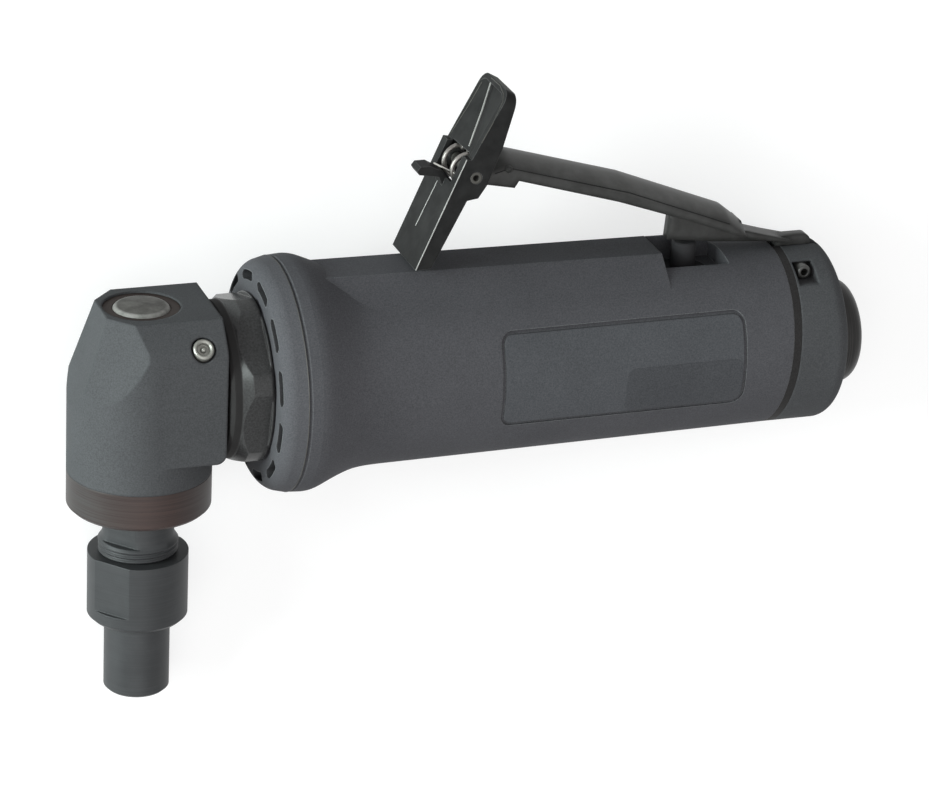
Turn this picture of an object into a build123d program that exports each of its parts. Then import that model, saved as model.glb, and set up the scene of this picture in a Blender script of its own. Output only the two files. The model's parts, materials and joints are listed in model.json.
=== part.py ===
from build123d import *
import math
import os

# Right angle die grinder, in millimetres.
# Tool frame: origin where the motor and spindle axes cross, x back along the grip,
# z up towards the lever, the label on the -y side. lying_turn() lays the finished tool down.

# Clearances
RUNNING = 0.05
AIR = 0.3

# Angle head
HEAD_R = 14.5
HEAD_TOP = 17.0
HEAD_BOTTOM = -17.5
HEAD_REAR = 13.8
HEAD_TOP_HALF = 9.6
HEAD_SIDE_TOP = 11.5
HEAD_BLOCK_BOTTOM = -12.0
HEAD_CORNER_R = 2.0
HEAD_SHOULDER_R = 4.0
FACET_AZIMUTH = 43.4
FACET_LEAN = 17.9
FACET_REACH = 14.11
FRONT_LEAN = 18.0
FRONT_REACH = 13.05
NECK_R = 11.3
NECK_END = 16.0
FLANGE_R = 13.0
FLANGE_END = 18.0
PLUG_SEAT = 14.0
PLUG_R = 5.75
PLUG_EDGE = 16.5
PLUG_CROWN = 17.5
PLUG_RING_R = 7.7
PLUG_RING_TOP = 16.6
GREASE_X = 8.95
GREASE_DROP = 4.5
GREASE_R = 2.1
GREASE_RECESS_R = 2.5
GREASE_DEPTH = 2.0
GREASE_NIPPLE_R = 0.9

# Spindle line
UPPER_BEARING_R = 7.0
UPPER_BEARING_BOTTOM = 8.5
UPPER_BEARING_TOP = 13.5
LOWER_BEARING_R = 11.0
LOWER_BEARING_TOP = -10.5
GEAR_CHAMBER_R = 10.3
GEAR_CHAMBER_TOP = 5.0
UPPER_WELL_R = 5.5
CAP_BOTTOM = -25.2
CAP_FLOOR = 2.0
CAP_WELL_R = 9.2
CAP_EDGE = 0.7
JOURNAL_R = 4.0
GEAR_SEAT_R = 5.0
SHOULDER_GAP = 0.4
SPINDLE_NECK_R = 7.2
SPINDLE_NECK_END = -30.5
SPINDLE_FLAT = 6.3
THREAD_R = 6.0
THREAD_END = -46.0
SOCKET_MOUTH_R = 5.0
SOCKET_DEPTH = 5.0
SOCKET_TAPER = 1.3
SPINDLE_BORE_R = 3.5
SPINDLE_BORE_TOP = -28.0

# Collet and its nut
NUT_R = 10.16
NUT_TOP = -35.5
NUT_BOTTOM = -49.8
NUT_EDGE = 0.8
NUT_FLAT = 9.3
NUT_FLAT_TURN = -48.0
NUT_FLAT_END = -46.6
NOSE_R = 6.65
NOSE_END = -66.0
NOSE_EDGE = 0.6
NOSE_LIP = 1.0
NOSE_LIP_R = 4.2
COLLET_R = 4.9
COLLET_BORE_R = 3.175
COLLET_CONE_R = 3.75
COLLET_REACH = 4.0
COLLET_TOP = THREAD_END + COLLET_REACH
COLLET_SLITS = 4
COLLET_SLIT = 0.5
COLLET_SLIT_TURN = 45.0
COLLET_SLIT_TOP = -50.0

# Bevel gears
PINION_TEETH = 13
GEAR_TEETH = 17
MODULE = 1.0
FACE_WIDTH = 3.2
PRESSURE_ANGLE = 20.0
BACKLASH = 0.2
ADDENDUM = 0.95
DEDENDUM = 1.2
ROOT_BITE = 0.2
PINION_BACK = 10.0
GEAR_BACK = 10.1
PINION_CHAMBER_R = 8.2
PINION_BEARING_R = 9.0
PINION_BEARING_FRONT = 10.2
PINION_BEARING_REAR = 16.0
COUPLING_FRONT = 20.0
COUPLING_JOINT = 24.2
COUPLING_R = 2.6

# Coupling nut
HEX_FLATS = 32.2
HEX_CORNER_R = 17.5
HEX_TURN = 46.6
HEX_FRONT = 14.4
HEX_FRONT_R = 15.9
HEX_FRONT_EDGE = 0.6
HEX_CHAMFER_START = 16.5
HEX_CHAMFER_END = 18.4
HEX_REAR = 22.2
HEX_COLLAR_R = 17.0
HEX_COLLAR_END = 22.6

# Grip, stations along the motor axis
BULGE = 30.5
BULGE_R = 23.9
JOINT_STEP = 0.15
JOINT_R = BULGE_R - JOINT_STEP
JOINT_BEVEL = 0.35
RING_FRONT = 22.9
RING_WALL = 2.5
RING_JOINT = 28.0
RING_SHOULDER = 25.4
RING_TAPER = 0.55
RING_SHOULDER_R = JOINT_R - RING_TAPER
RING_BROW = 2.6
RING_FACE_R = RING_SHOULDER_R - RING_BROW
RING_ROUND = 0.45
RING_SKIN = 1.3
RING_CHAMBER_R = 15.0
SLOTS = 12
SLOT_TURN = 15.0
SLOT_INSIDE = 1.3
SLOT_INNER_R = RING_FACE_R - SLOT_INSIDE
SLOT_OUTSIDE = 0.6
SLOT_OUTER_R = RING_FACE_R + SLOT_OUTSIDE
SLOT_SPAN = 20.0
FELT_END = 27.6
WAIST = 48.0
WAIST_R = 19.9
FLARE_HIGH_RUN = 4.0
FLARE_HIGH_DROP = 1.05
FLARE_LOW_RUN = 8.3
FLARE_LOW_RISE = 1.2
GRIP_END = 131.7
GRIP_END_R = 19.0
REAR_LEAN = 4.0
RAIL_FRONT = 35.0
RAIL_REAR = 107.2
RAIL_RISE = 1.65
RAIL_HALF = 5.1
RAIL_FLANK = 54.2
HUB_R = 17.0
HUB_END = 36.0
HUB_BORE_R = 8.0
MOTOR_R = 15.2
MOTOR_END = 102.0

# Label panel, a rounded rectangle of groove on the grip
LABEL_FRONT = 69.0
LABEL_REAR = 121.6
LABEL_TOP = 11.6
LABEL_BOTTOM = -7.9
LABEL_CORNER = 2.6
LABEL_GROOVE = 0.7
LABEL_DEPTH = 0.45

# Air motor
FRONT_PLATE_END = 42.0
REAR_PLATE = 96.0
PLATE_WEB = 1.5
PLATE_HOLE_R = 5.0
ROTOR_BEARING_R = 9.0
CYLINDER_BORE_R = 12.8
CYLINDER_OFFSET = 1.2
ROTOR_R = 11.3
ROTOR_TAIL = 101.6
VANES = 5
VANE_TURN = 36.0
VANE = 1.6
VANE_FOOT = 5.8
DOWEL_R = 1.0
DOWEL_Z = -13.7
DOWEL_END_WEB = 1.0

# Throttle valve
VALVE_X = 114.0
POCKET_REAR = 121.6
POCKET_NEAR = 6.3
POCKET_FAR = 5.3
POCKET_FLOOR = 15.5
VALVE_SLEEVE_R = 5.0
VALVE_SLEEVE_BOTTOM = 4.0
STEM_R = 2.5
STEM_TOP = 21.4
VALVE_R = 4.2
VALVE_TOP = 3.4
VALVE_BOTTOM = 0.4
VALVE_WELL_BOTTOM = -9.0
SPRING_R = 3.6
SPRING_BORE_R = 2.6
AIRWAY_R = 4.5

# Rear end
GASKET_END = 133.4
GASKET_BORE_R = 7.0
BACKHEAD_END = 145.0
BACKHEAD_ROUND = 3.2
SCREEN_FRONT = 138.2
BUSHING_FRONT = 139.0
BUSHING_SHANK_R = 8.4
BUSHING_R = 11.0
BUSHING_END = 152.0
BUSHING_EDGE = 3.4
INLET_R = 6.0
INLET_DROP = 1.5

# Throttle lever, side view points are (x, z)
LEVER_PIN_X = 137.2
LEVER_PIN_DROP = 3.1
LEVER_PIN_Z = GRIP_END_R - LEVER_PIN_DROP
LEVER_PIN_R = 1.5
LEVER_PIN_END = 0.6
LEVER_HALF = 5.9
LEVER_SKIN = 1.3
LEVER_ROOF = 2.4
CROWN_RISE = 2.2
CROWN_DEPTH = 34.0
KNUCKLE_FRONT = 134.1
KNUCKLE_REAR = 141.6
KNUCKLE_RISE = 2.0
KNUCKLE_TOP = GRIP_END_R + KNUCKLE_RISE
KNUCKLE_DROP = 4.7
KNUCKLE_BOTTOM = LEVER_PIN_Z - KNUCKLE_DROP
KNUCKLE_ROUND = 1.5
LEVER_SLOT_FLOOR = KNUCKLE_BOTTOM - 4 * AIR
LEVER_SLOT_END = 144.1
PIN_POCKET_LENGTH = 4.4
PIN_POCKET_HEIGHT = 3.2
PIN_POCKET_FLOOR = 5.0
LEVER_BROW = (70.0, 43.45)
LEVER_NOSE = (73.2, 44.35)
LEVER_BEND = (98.8, 37.25)
LEVER_BACK = (121.4, 28.65)
LEVER_HEEL = (125.2, 25.65)
LEVER_DROP = (126.2, 23.3)
TAIL_HALF = 2.6
TAIL_MIDDLE = (131.9, 21.65)
TAIL_TIP = (137.2, 20.3)
TAIL_TOE = (136.8, 20.0)
TAIL_LOW = (128.5, 21.1)
SKIRT_REAR = (124.4, 23.3)
SKIRT_BACK = (112.5, 27.8)
SKIRT_MIDDLE = (96.7, 33.2)
RIB_HALF = 1.25
RIB_FRONT = (109.8, 22.35)
RIB_MIDDLE = (119.6, 21.05)
RIB_REAR = (132.0, 20.1)
SKIRT_STEP = (75.2, 39.3)
TAB_REAR = (74.3, 37.9)
TAB_FRONT = (67.5, 39.2)
LEVER_EYE_R = 2.1
BELOW_LEVER = 20.0

# Lock lever, side view points are (x, z)
LOCK_X = 65.6
LOCK_Z = 41.15
LOCK_PIN_R = 1.2
LOCK_PIN_BORE_R = 0.65
LOCK_HALF = 7.35
LOCK_SKIN = 1.2
LOCK_TOE = (53.8, 22.6)
LOCK_HEEL = (57.0, 22.8)
LOCK_HEEL_TOP = (58.7, 26.1)
LOCK_KNEE = (63.5, 45.2)
LOCK_STEP = (64.5, 45.0)
LOCK_CREST = (71.7, 58.4)
LOCK_CREST_BACK = (73.6, 57.6)
LOCK_BACK_TOP = (73.4, 56.6)
LOCK_BACK_MIDDLE = (70.85, 47.05)
LOCK_EAR = (68.0, 39.55)
LOCK_EAR_LOW = (66.2, 36.85)
LOCK_NOTCH = (63.9, 36.5)
LOCK_TOP_ROUND = 2.6
LOCK_LIP = 1.2
LOCK_PANEL_NEAR = 5.8
LOCK_PANEL_FAR = 6.9
LOCK_PANEL_ROUND = 2.0
VALLEY_DEPTH = 0.75
VALLEY_TOP = -2.0
VALLEY_FOOT = 3.2
WINDOW_HALF = 4.8
WINDOW_LOW = -3.05
WINDOW_HIGH = 3.4
THUMB_ROOT_TOP = (61.3, 39.4)
THUMB_BROW = (60.7, 40.8)
THUMB_TOP = (57.9, 42.3)
THUMB_TIP_TOP = (55.8, 42.3)
THUMB_TIP = (55.1, 41.4)
THUMB_TIP_LOW = (55.6, 40.6)
THUMB_LOW = (59.7, 39.9)
THUMB_ROOT = (60.4, 38.1)
THUMB_ROOT_BACK = (61.2, 38.1)
THUMB_HALF = 2.0
COIL_R = 3.75
COIL_BORE_R = 2.75
COIL_HALF = 4.0


# Turned pieces and boxes
def turned_x(outline):
    """A solid turned about the motor axis from (x, radius) points."""
    return revolve(make_face(Polyline(*outline, close=True)), Axis.X)


def turned_z(outline):
    """A solid turned about the spindle axis from (z, radius) points."""
    points = [(radius, 0, z) for z, radius in outline]
    return revolve(make_face(Polyline(*points, close=True)), Axis.Z)


def tube_x(front, rear, radius, bore):
    return turned_x([(front, bore), (front, radius), (rear, radius), (rear, bore)])


def rod_x(front, rear, radius):
    return tube_x(front, rear, radius, 0)


def tube_z(bottom, top, radius, bore):
    return turned_z([(bottom, bore), (bottom, radius), (top, radius), (top, bore)])


def rod_z(bottom, top, radius):
    return tube_z(bottom, top, radius, 0)


def rod_y(x, z, radius, half):
    return Pos(x, 0, z) * Rot(X=90) * Cylinder(radius, 2 * half)


def block(x0, x1, y0, y1, z0, z1):
    centre = ((x0 + x1) / 2, (y0 + y1) / 2, (z0 + z1) / 2)
    return Pos(*centre) * Box(x1 - x0, y1 - y0, z1 - z0)


def side_plate(points, half):
    """A plate across the tool, cut to an outline of (x, z) points."""
    outline = Polyline(*[(x, 0, z) for x, z in points], close=True)
    return extrude(make_face(outline), half, dir=(0, 1, 0), both=True)


def shave(solid, normal, reach):
    """Cut away all that lies further than reach along normal."""
    direction = Vector(*normal).normalized()
    cut = Plane(origin=direction * reach, z_dir=direction)
    return split(solid, bisect_by=cut, keep=Keep.BOTTOM)


# Angle head
def lean_normal(azimuth, lean):
    """Outward normal of a front facet, azimuth from the nose, leaning back at the top."""
    a = math.radians(azimuth)
    b = math.radians(lean)
    return (-math.cos(a) * math.cos(b), -math.sin(a) * math.cos(b), math.sin(b))


def shoulder_normal(side):
    run = HEAD_R - HEAD_TOP_HALF
    drop = HEAD_TOP - HEAD_SIDE_TOP
    return (0, side * drop / math.hypot(run, drop), run / math.hypot(run, drop))


def shoulder_reach():
    normal = shoulder_normal(1)
    return normal[1] * HEAD_TOP_HALF + normal[2] * HEAD_TOP


def grease_plane():
    """The chamfer at the grease fitting, looking out of the head."""
    run = (HEAD_R - HEAD_TOP_HALF) / (HEAD_TOP - HEAD_SIDE_TOP)
    y = -(HEAD_TOP_HALF + GREASE_DROP * run)
    return Plane(origin=(GREASE_X, y, HEAD_TOP - GREASE_DROP), z_dir=shoulder_normal(-1))


def shoulder_edges(shell):
    """The straight lower edges of the two shoulders."""
    lines = shell.edges().filter_by(GeomType.LINE).filter_by(Axis.X)
    return [line for line in lines if abs(line.center().Z - HEAD_SIDE_TOP) < RUNNING]


def head_shell():
    nose = rod_z(HEAD_BOTTOM, HEAD_TOP, HEAD_R)
    rear = block(0, HEAD_REAR, -HEAD_R, HEAD_R, HEAD_BLOCK_BOTTOM, HEAD_TOP)
    low_edges = rear.faces().sort_by(Axis.X)[-1].edges().sort_by(Axis.Z)[0]
    rear = fillet(low_edges, HEAD_CORNER_R)
    shell = nose + rear
    for side in (-1, 1):
        shell = shave(shell, shoulder_normal(side), shoulder_reach())
    shell = fillet(shoulder_edges(shell), HEAD_SHOULDER_R)
    for side in (-1, 1):
        shell = shave(shell, lean_normal(side * FACET_AZIMUTH, FACET_LEAN), FACET_REACH)
    shell = shave(shell, (1, 0, 0), HEAD_REAR)
    return shave(shell, lean_normal(0, FRONT_LEAN), FRONT_REACH)


def angle_head():
    head = head_shell()
    head += rod_x(0, NECK_END, NECK_R) + rod_x(NECK_END, FLANGE_END, FLANGE_R - RUNNING)
    head -= rod_z(HEAD_BOTTOM, LOWER_BEARING_TOP, LOWER_BEARING_R)
    head -= rod_z(LOWER_BEARING_TOP, GEAR_CHAMBER_TOP, GEAR_CHAMBER_R)
    head -= rod_z(GEAR_CHAMBER_TOP, UPPER_BEARING_BOTTOM, UPPER_WELL_R)
    head -= rod_z(UPPER_BEARING_BOTTOM, PLUG_SEAT, UPPER_BEARING_R)
    head -= rod_z(PLUG_SEAT, HEAD_TOP, PLUG_RING_R)
    head -= rod_x(0, PINION_BEARING_FRONT, PINION_CHAMBER_R)
    head -= rod_x(PINION_BEARING_FRONT, FLANGE_END, PINION_BEARING_R)
    recess = Cylinder(GREASE_RECESS_R, 2 * GREASE_DEPTH)
    return head - grease_plane().location * recess


def grease_fitting():
    body = Pos(0, 0, -GREASE_DEPTH / 2) * Cylinder(GREASE_R, GREASE_DEPTH)
    nipple = Pos(0, 0, AIR / 2) * Cylinder(GREASE_NIPPLE_R, AIR)
    return grease_plane().location * (body + nipple)


def head_plug():
    """A plug with a spherical crown."""
    rise = PLUG_CROWN - PLUG_EDGE
    crown_r = (PLUG_R ** 2 + rise ** 2) / (2 * rise)
    return rod_z(PLUG_SEAT, PLUG_CROWN, PLUG_R) & Pos(0, 0, PLUG_CROWN - crown_r) * Sphere(crown_r)


def plug_ring():
    return tube_z(PLUG_SEAT, PLUG_RING_TOP, PLUG_RING_R, PLUG_R)


def bearing_cap():
    floor = CAP_BOTTOM + CAP_FLOOR
    hole = SPINDLE_NECK_R + AIR
    return turned_z([
        (HEAD_BOTTOM, CAP_WELL_R), (HEAD_BOTTOM, HEAD_R),
        (CAP_BOTTOM + CAP_EDGE, HEAD_R), (CAP_BOTTOM, HEAD_R - CAP_EDGE),
        (CAP_BOTTOM, hole), (floor, hole), (floor, CAP_WELL_R)])


# Spindle, collet and nut
def spindle():
    shoulder = HEAD_BOTTOM - SHOULDER_GAP
    seat_top = -gear_face_height()
    shaft = turned_z([
        (UPPER_BEARING_TOP, 0), (UPPER_BEARING_TOP, JOURNAL_R), (seat_top, JOURNAL_R),
        (seat_top, GEAR_SEAT_R), (shoulder, GEAR_SEAT_R), (shoulder, SPINDLE_NECK_R),
        (SPINDLE_NECK_END, SPINDLE_NECK_R), (SPINDLE_NECK_END, THREAD_R),
        (THREAD_END, THREAD_R), (THREAD_END, SOCKET_MOUTH_R),
        (THREAD_END + SOCKET_DEPTH, SOCKET_MOUTH_R - SOCKET_TAPER),
        (THREAD_END + SOCKET_DEPTH, SPINDLE_BORE_R), (SPINDLE_BORE_TOP, SPINDLE_BORE_R),
        (SPINDLE_BORE_TOP, 0)])
    flats_top = CAP_BOTTOM - AIR
    for side in (0, 180):
        shaft -= Rot(Z=NUT_FLAT_TURN + side) * block(
            -HEAD_R, HEAD_R, SPINDLE_FLAT, HEAD_R, SPINDLE_NECK_END, flats_top)
    return shaft


def collet():
    bottom = NOSE_END + NOSE_LIP + RUNNING
    shoulder = THREAD_END - AIR
    body = turned_z([
        (bottom, COLLET_BORE_R), (bottom, COLLET_R), (shoulder, COLLET_R),
        (COLLET_TOP, COLLET_CONE_R), (COLLET_TOP, COLLET_BORE_R)])
    for index in range(COLLET_SLITS):
        slit = block(0, COLLET_R, -COLLET_SLIT / 2, COLLET_SLIT / 2, bottom, COLLET_SLIT_TOP)
        body -= Rot(Z=COLLET_SLIT_TURN + 360 / COLLET_SLITS * index) * slit
    return body


def collet_nut():
    thread_bore = THREAD_R + RUNNING
    bore = COLLET_R + RUNNING
    nut = turned_z([
        (NUT_TOP, thread_bore), (NUT_TOP, NUT_R), (NUT_BOTTOM + NUT_EDGE, NUT_R),
        (NUT_BOTTOM, NUT_R - NUT_EDGE), (NUT_BOTTOM, NOSE_R), (NOSE_END + NOSE_EDGE, NOSE_R),
        (NOSE_END, NOSE_R - NOSE_EDGE), (NOSE_END, NOSE_LIP_R), (NOSE_END + NOSE_LIP, NOSE_LIP_R),
        (NOSE_END + NOSE_LIP, bore), (THREAD_END - AIR, bore), (THREAD_END - AIR, thread_bore)])
    for side in (0, 180):
        nut -= Rot(Z=NUT_FLAT_TURN + side) * block(
            -NUT_R, NUT_R, NUT_FLAT, 2 * NUT_R, NUT_FLAT_END, NUT_TOP)
    return nut


# Bevel gears, cut to one apex where the two axes cross
def cone_distance():
    return MODULE / 2 * math.hypot(PINION_TEETH, GEAR_TEETH)


def inner_share():
    return 1 - FACE_WIDTH / cone_distance()


def gear_face_height():
    """Height of the gear's front face below the apex."""
    pitch_angle = math.atan2(GEAR_TEETH, PINION_TEETH)
    height = MODULE * PINION_TEETH / 2 + DEDENDUM * MODULE * math.sin(pitch_angle)
    return height * inner_share()


def flank(teeth, pitch_angle):
    """Half of one tooth as (height above pitch, half width), an involute on the back cone."""
    pitch_r = MODULE * teeth / 2 / math.cos(pitch_angle)
    base_r = pitch_r * math.cos(math.radians(PRESSURE_ANGLE))
    at_pitch = math.tan(math.radians(PRESSURE_ANGLE)) - math.radians(PRESSURE_ANGLE)
    half_angle = (math.pi * MODULE / 2 - BACKLASH) / (2 * pitch_r)
    points = []
    for height in (-DEDENDUM - ROOT_BITE, -DEDENDUM / 2, 0, ADDENDUM / 2, ADDENDUM):
        radius = pitch_r + height * MODULE
        tangent_angle = math.acos(min(1, base_r / radius))
        turn = half_angle + at_pitch - (math.tan(tangent_angle) - tangent_angle)
        points.append((radius * math.cos(turn) - pitch_r, radius * math.sin(turn)))
    return points


def tooth_section(teeth, pitch_angle, share):
    """One tooth cut square to the pitch line, share of the way out from the apex."""
    out = Vector(math.cos(pitch_angle), 0, -math.sin(pitch_angle))
    pitch_point = Vector(math.sin(pitch_angle), 0, math.cos(pitch_angle)) * cone_distance()
    half = flank(teeth, pitch_angle)
    outline = [(height, width) for height, width in half]
    outline += [(height, -width) for height, width in reversed(half)]
    points = [(pitch_point + out * height + Vector(0, width, 0)) * share
              for height, width in outline]
    return make_face(Polyline(*points, close=True))


def bevel_wheel(teeth, mate_teeth, bore, back, first_tooth):
    """A straight bevel gear with its apex at the origin and its back towards +z."""
    pitch_angle = math.atan2(teeth, mate_teeth)
    root_r = MODULE * teeth / 2 - DEDENDUM * MODULE * math.cos(pitch_angle)
    root_z = MODULE * mate_teeth / 2 + DEDENDUM * MODULE * math.sin(pitch_angle)
    share = inner_share()
    wheel = turned_z([
        (root_z * share, bore), (root_z * share, root_r * share),
        (root_z, root_r), (back, root_r), (back, bore)])
    tooth = loft([tooth_section(teeth, pitch_angle, 1), tooth_section(teeth, pitch_angle, share)],
                 ruled=True)
    ring = [Rot(Z=first_tooth + 360 / teeth * index) * tooth for index in range(teeth)]
    return wheel.fuse(*ring)


def bevel_gear():
    half_pitch = 180 / GEAR_TEETH
    return Rot(X=180) * bevel_wheel(GEAR_TEETH, PINION_TEETH, GEAR_SEAT_R, GEAR_BACK, half_pitch)


def bevel_pinion():
    wheel = Rot(Y=90) * bevel_wheel(PINION_TEETH, GEAR_TEETH, 0, PINION_BACK, 0)
    shaft = rod_x(PINION_BACK, COUPLING_JOINT, JOURNAL_R)
    return wheel + shaft - rod_x(COUPLING_FRONT, COUPLING_JOINT, COUPLING_R)


def pinion_bearing():
    return tube_x(PINION_BEARING_FRONT, PINION_BEARING_REAR, PINION_BEARING_R, JOURNAL_R + RUNNING)


def upper_spindle_bearing():
    return tube_z(UPPER_BEARING_BOTTOM, UPPER_BEARING_TOP, UPPER_BEARING_R, JOURNAL_R + RUNNING)


def lower_spindle_bearing():
    return tube_z(HEAD_BOTTOM, LOWER_BEARING_TOP, LOWER_BEARING_R, GEAR_SEAT_R + RUNNING)


# Joint between head and grip
def coupling_nut():
    across = HEX_FLATS / math.sqrt(3)
    hexagon = RegularPolygon(across, 6, rotation=30)
    lying = Plane.YZ.offset(HEX_FRONT) * Rot(Z=180 - HEX_TURN) * hexagon
    prism = extrude(lying, HEX_REAR - HEX_FRONT)
    envelope = turned_x([
        (HEX_FRONT, 0), (HEX_FRONT, HEX_FRONT_R - HEX_FRONT_EDGE),
        (HEX_FRONT + HEX_FRONT_EDGE, HEX_FRONT_R), (HEX_CHAMFER_START, HEX_FRONT_R),
        (HEX_CHAMFER_END, HEX_CORNER_R), (HEX_REAR, HEX_CORNER_R), (HEX_REAR, 0)])
    nut = prism & envelope
    nut += rod_x(HEX_REAR, HEX_COLLAR_END, HEX_COLLAR_R)
    nut -= rod_x(HEX_FRONT, NECK_END, NECK_R + AIR)
    return nut - rod_x(NECK_END, HEX_COLLAR_END, FLANGE_R)


def front_hub():
    return tube_x(FLANGE_END, RING_JOINT, FLANGE_R, HUB_BORE_R) + tube_x(
        RING_JOINT, HUB_END, HUB_R, HUB_BORE_R)


def ring_section():
    rim_chamber = RING_SHOULDER_R - RING_SKIN
    wall = RING_FRONT + RING_WALL
    brow = SagittaArc((RING_FRONT, RING_FACE_R), (RING_SHOULDER, RING_SHOULDER_R), RING_ROUND)
    rest = Polyline(
        (RING_SHOULDER, RING_SHOULDER_R), (RING_JOINT - JOINT_BEVEL, JOINT_R),
        (RING_JOINT, JOINT_R - JOINT_BEVEL), (RING_JOINT, rim_chamber), (wall, rim_chamber),
        (wall, RING_CHAMBER_R), (RING_JOINT, RING_CHAMBER_R), (RING_JOINT, FLANGE_R),
        (RING_FRONT, FLANGE_R), (RING_FRONT, RING_FACE_R))
    return make_face(brow + rest)


def exhaust_slot():
    """One slot through the front face, an arc with round ends."""
    middle_r = (SLOT_INNER_R + SLOT_OUTER_R) / 2
    half_width = (SLOT_OUTER_R - SLOT_INNER_R) / 2
    end_turn = SLOT_SPAN / 2 - math.degrees(half_width / middle_r)
    arc = CenterArc((0, 0), middle_r, -end_turn, 2 * end_turn)
    face = SlotArc(arc, 2 * half_width)
    return extrude(Plane.YZ.offset(RING_FRONT) * face, RING_WALL)


def exhaust_deflector():
    ring = revolve(ring_section(), Axis.X)
    slot = exhaust_slot()
    for index in range(SLOTS):
        ring -= Rot(X=SLOT_TURN + 360 / SLOTS * index) * slot
    return ring


def silencer_felt():
    return tube_x(RING_FRONT + RING_WALL, FELT_END, RING_SHOULDER_R - RING_SKIN, RING_CHAMBER_R)


# Joint between grip and backhead, leaning back at the top
def rear_joint_normal(way):
    """Square to the leaning joint, way is 1 towards the inlet and -1 towards the head."""
    lean = math.radians(REAR_LEAN)
    return (way * math.cos(lean), 0, -way * math.sin(lean))


def ahead_of(solid, x):
    """What lies ahead of the leaning plane that crosses the motor axis at x."""
    return shave(solid, rear_joint_normal(1), x * math.cos(math.radians(REAR_LEAN)))


def behind(solid, x):
    """What lies behind the leaning plane that crosses the motor axis at x."""
    return shave(solid, rear_joint_normal(-1), -x * math.cos(math.radians(REAR_LEAN)))


def lean_room():
    """How far blanks run past the joint so that the leaning cut ends inside them."""
    return GRIP_END_R * math.tan(math.radians(REAR_LEAN)) + AIR


# Grip housing
def grip_radius(x):
    return WAIST_R + (GRIP_END_R - WAIST_R) * (x - WAIST) / (GRIP_END - WAIST)


def grip_skin(inset):
    """The turned outside of the grip, set in by a depth."""
    flare_high = (BULGE + FLARE_HIGH_RUN, BULGE_R - FLARE_HIGH_DROP)
    flare_low = (BULGE + FLARE_LOW_RUN, WAIST_R + FLARE_LOW_RISE)
    stations = ((BULGE, BULGE_R), flare_high, flare_low, (WAIST, WAIST_R))
    taper = (GRIP_END_R - WAIST_R) / (GRIP_END - WAIST)
    flare = Spline(*[(x, radius - inset) for x, radius in stations], tangents=((1, 0), (1, taper)))
    front = Polyline(
        (RING_JOINT, 0), (RING_JOINT, JOINT_R - JOINT_BEVEL - inset),
        (RING_JOINT + JOINT_BEVEL, JOINT_R - inset), (BULGE, BULGE_R - inset))
    blank_end = GRIP_END + lean_room()
    rear = Polyline(
        (WAIST, WAIST_R - inset), (blank_end, grip_radius(blank_end) - inset), (blank_end, 0),
        (RING_JOINT, 0))
    return revolve(make_face(front + flare + rear), Axis.X)


def rail_section(x):
    """Flat-topped rail across the grip, its flanks tangent to the round."""
    radius = grip_radius(x)
    foot_y = radius * math.cos(math.radians(RAIL_FLANK))
    foot_z = radius * math.sin(math.radians(RAIL_FLANK))
    top = radius + RAIL_RISE
    points = [(x, -RAIL_HALF, top), (x, RAIL_HALF, top), (x, foot_y, foot_z), (x, -foot_y, foot_z)]
    return make_face(Polyline(*points, close=True))


def lever_rail():
    """The rail in front of the pocket, and its far flank that runs on beside the pocket."""
    rail = loft([rail_section(RAIL_FRONT), rail_section(RAIL_REAR)], ruled=True)
    beside = loft([rail_section(RAIL_REAR), rail_section(POCKET_REAR)], ruled=True)
    return rail + (beside & block(RAIL_REAR, POCKET_REAR, POCKET_FAR, BULGE_R, 0, 2 * BULGE_R))


def label_groove():
    centre = Pos((LABEL_FRONT + LABEL_REAR) / 2, (LABEL_TOP + LABEL_BOTTOM) / 2)
    width = LABEL_REAR - LABEL_FRONT
    height = LABEL_TOP - LABEL_BOTTOM
    outer = centre * RectangleRounded(width, height, LABEL_CORNER)
    inner = centre * RectangleRounded(
        width - 2 * LABEL_GROOVE, height - 2 * LABEL_GROOVE, LABEL_CORNER - LABEL_GROOVE)
    return extrude(Plane.XZ * (outer - inner), 2 * BULGE_R)


def grip_hollows():
    """Everything bored and milled out of the grip, from the front to the back."""
    return [
        rod_x(RING_JOINT, HUB_END, HUB_R),
        rod_x(HUB_END, MOTOR_END, MOTOR_R),
        block(RAIL_REAR + AIR, POCKET_REAR, -POCKET_NEAR, POCKET_FAR, POCKET_FLOOR, BULGE_R),
        Pos(VALVE_X) * rod_z(VALVE_WELL_BOTTOM, POCKET_FLOOR, VALVE_SLEEVE_R),
        rod_x(VALVE_X, GRIP_END + lean_room(), AIRWAY_R)]


def grip_housing():
    solid = ahead_of(grip_skin(0), GRIP_END)
    groove = label_groove() & (solid - grip_skin(LABEL_DEPTH))
    solid -= groove
    for hollow in grip_hollows():
        solid -= hollow
    return solid + lever_rail()


# Air motor
def dowel_rod(front, rear):
    return Pos(0, 0, DOWEL_Z) * rod_x(front, rear, DOWEL_R)


def cylinder_dowel():
    return dowel_rod(HUB_END + DOWEL_END_WEB, MOTOR_END - DOWEL_END_WEB)


def front_end_plate():
    web = FRONT_PLATE_END - PLATE_WEB
    plate = tube_x(HUB_END, FRONT_PLATE_END, MOTOR_R, PLATE_HOLE_R)
    return plate - rod_x(HUB_END, web, ROTOR_BEARING_R) - cylinder_dowel()


def rear_end_plate():
    plate = tube_x(REAR_PLATE, MOTOR_END, MOTOR_R, PLATE_HOLE_R)
    return plate - rod_x(REAR_PLATE + PLATE_WEB, MOTOR_END, ROTOR_BEARING_R) - cylinder_dowel()


def front_rotor_bearing():
    return tube_x(HUB_END, FRONT_PLATE_END - PLATE_WEB, ROTOR_BEARING_R, JOURNAL_R + RUNNING)


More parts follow.
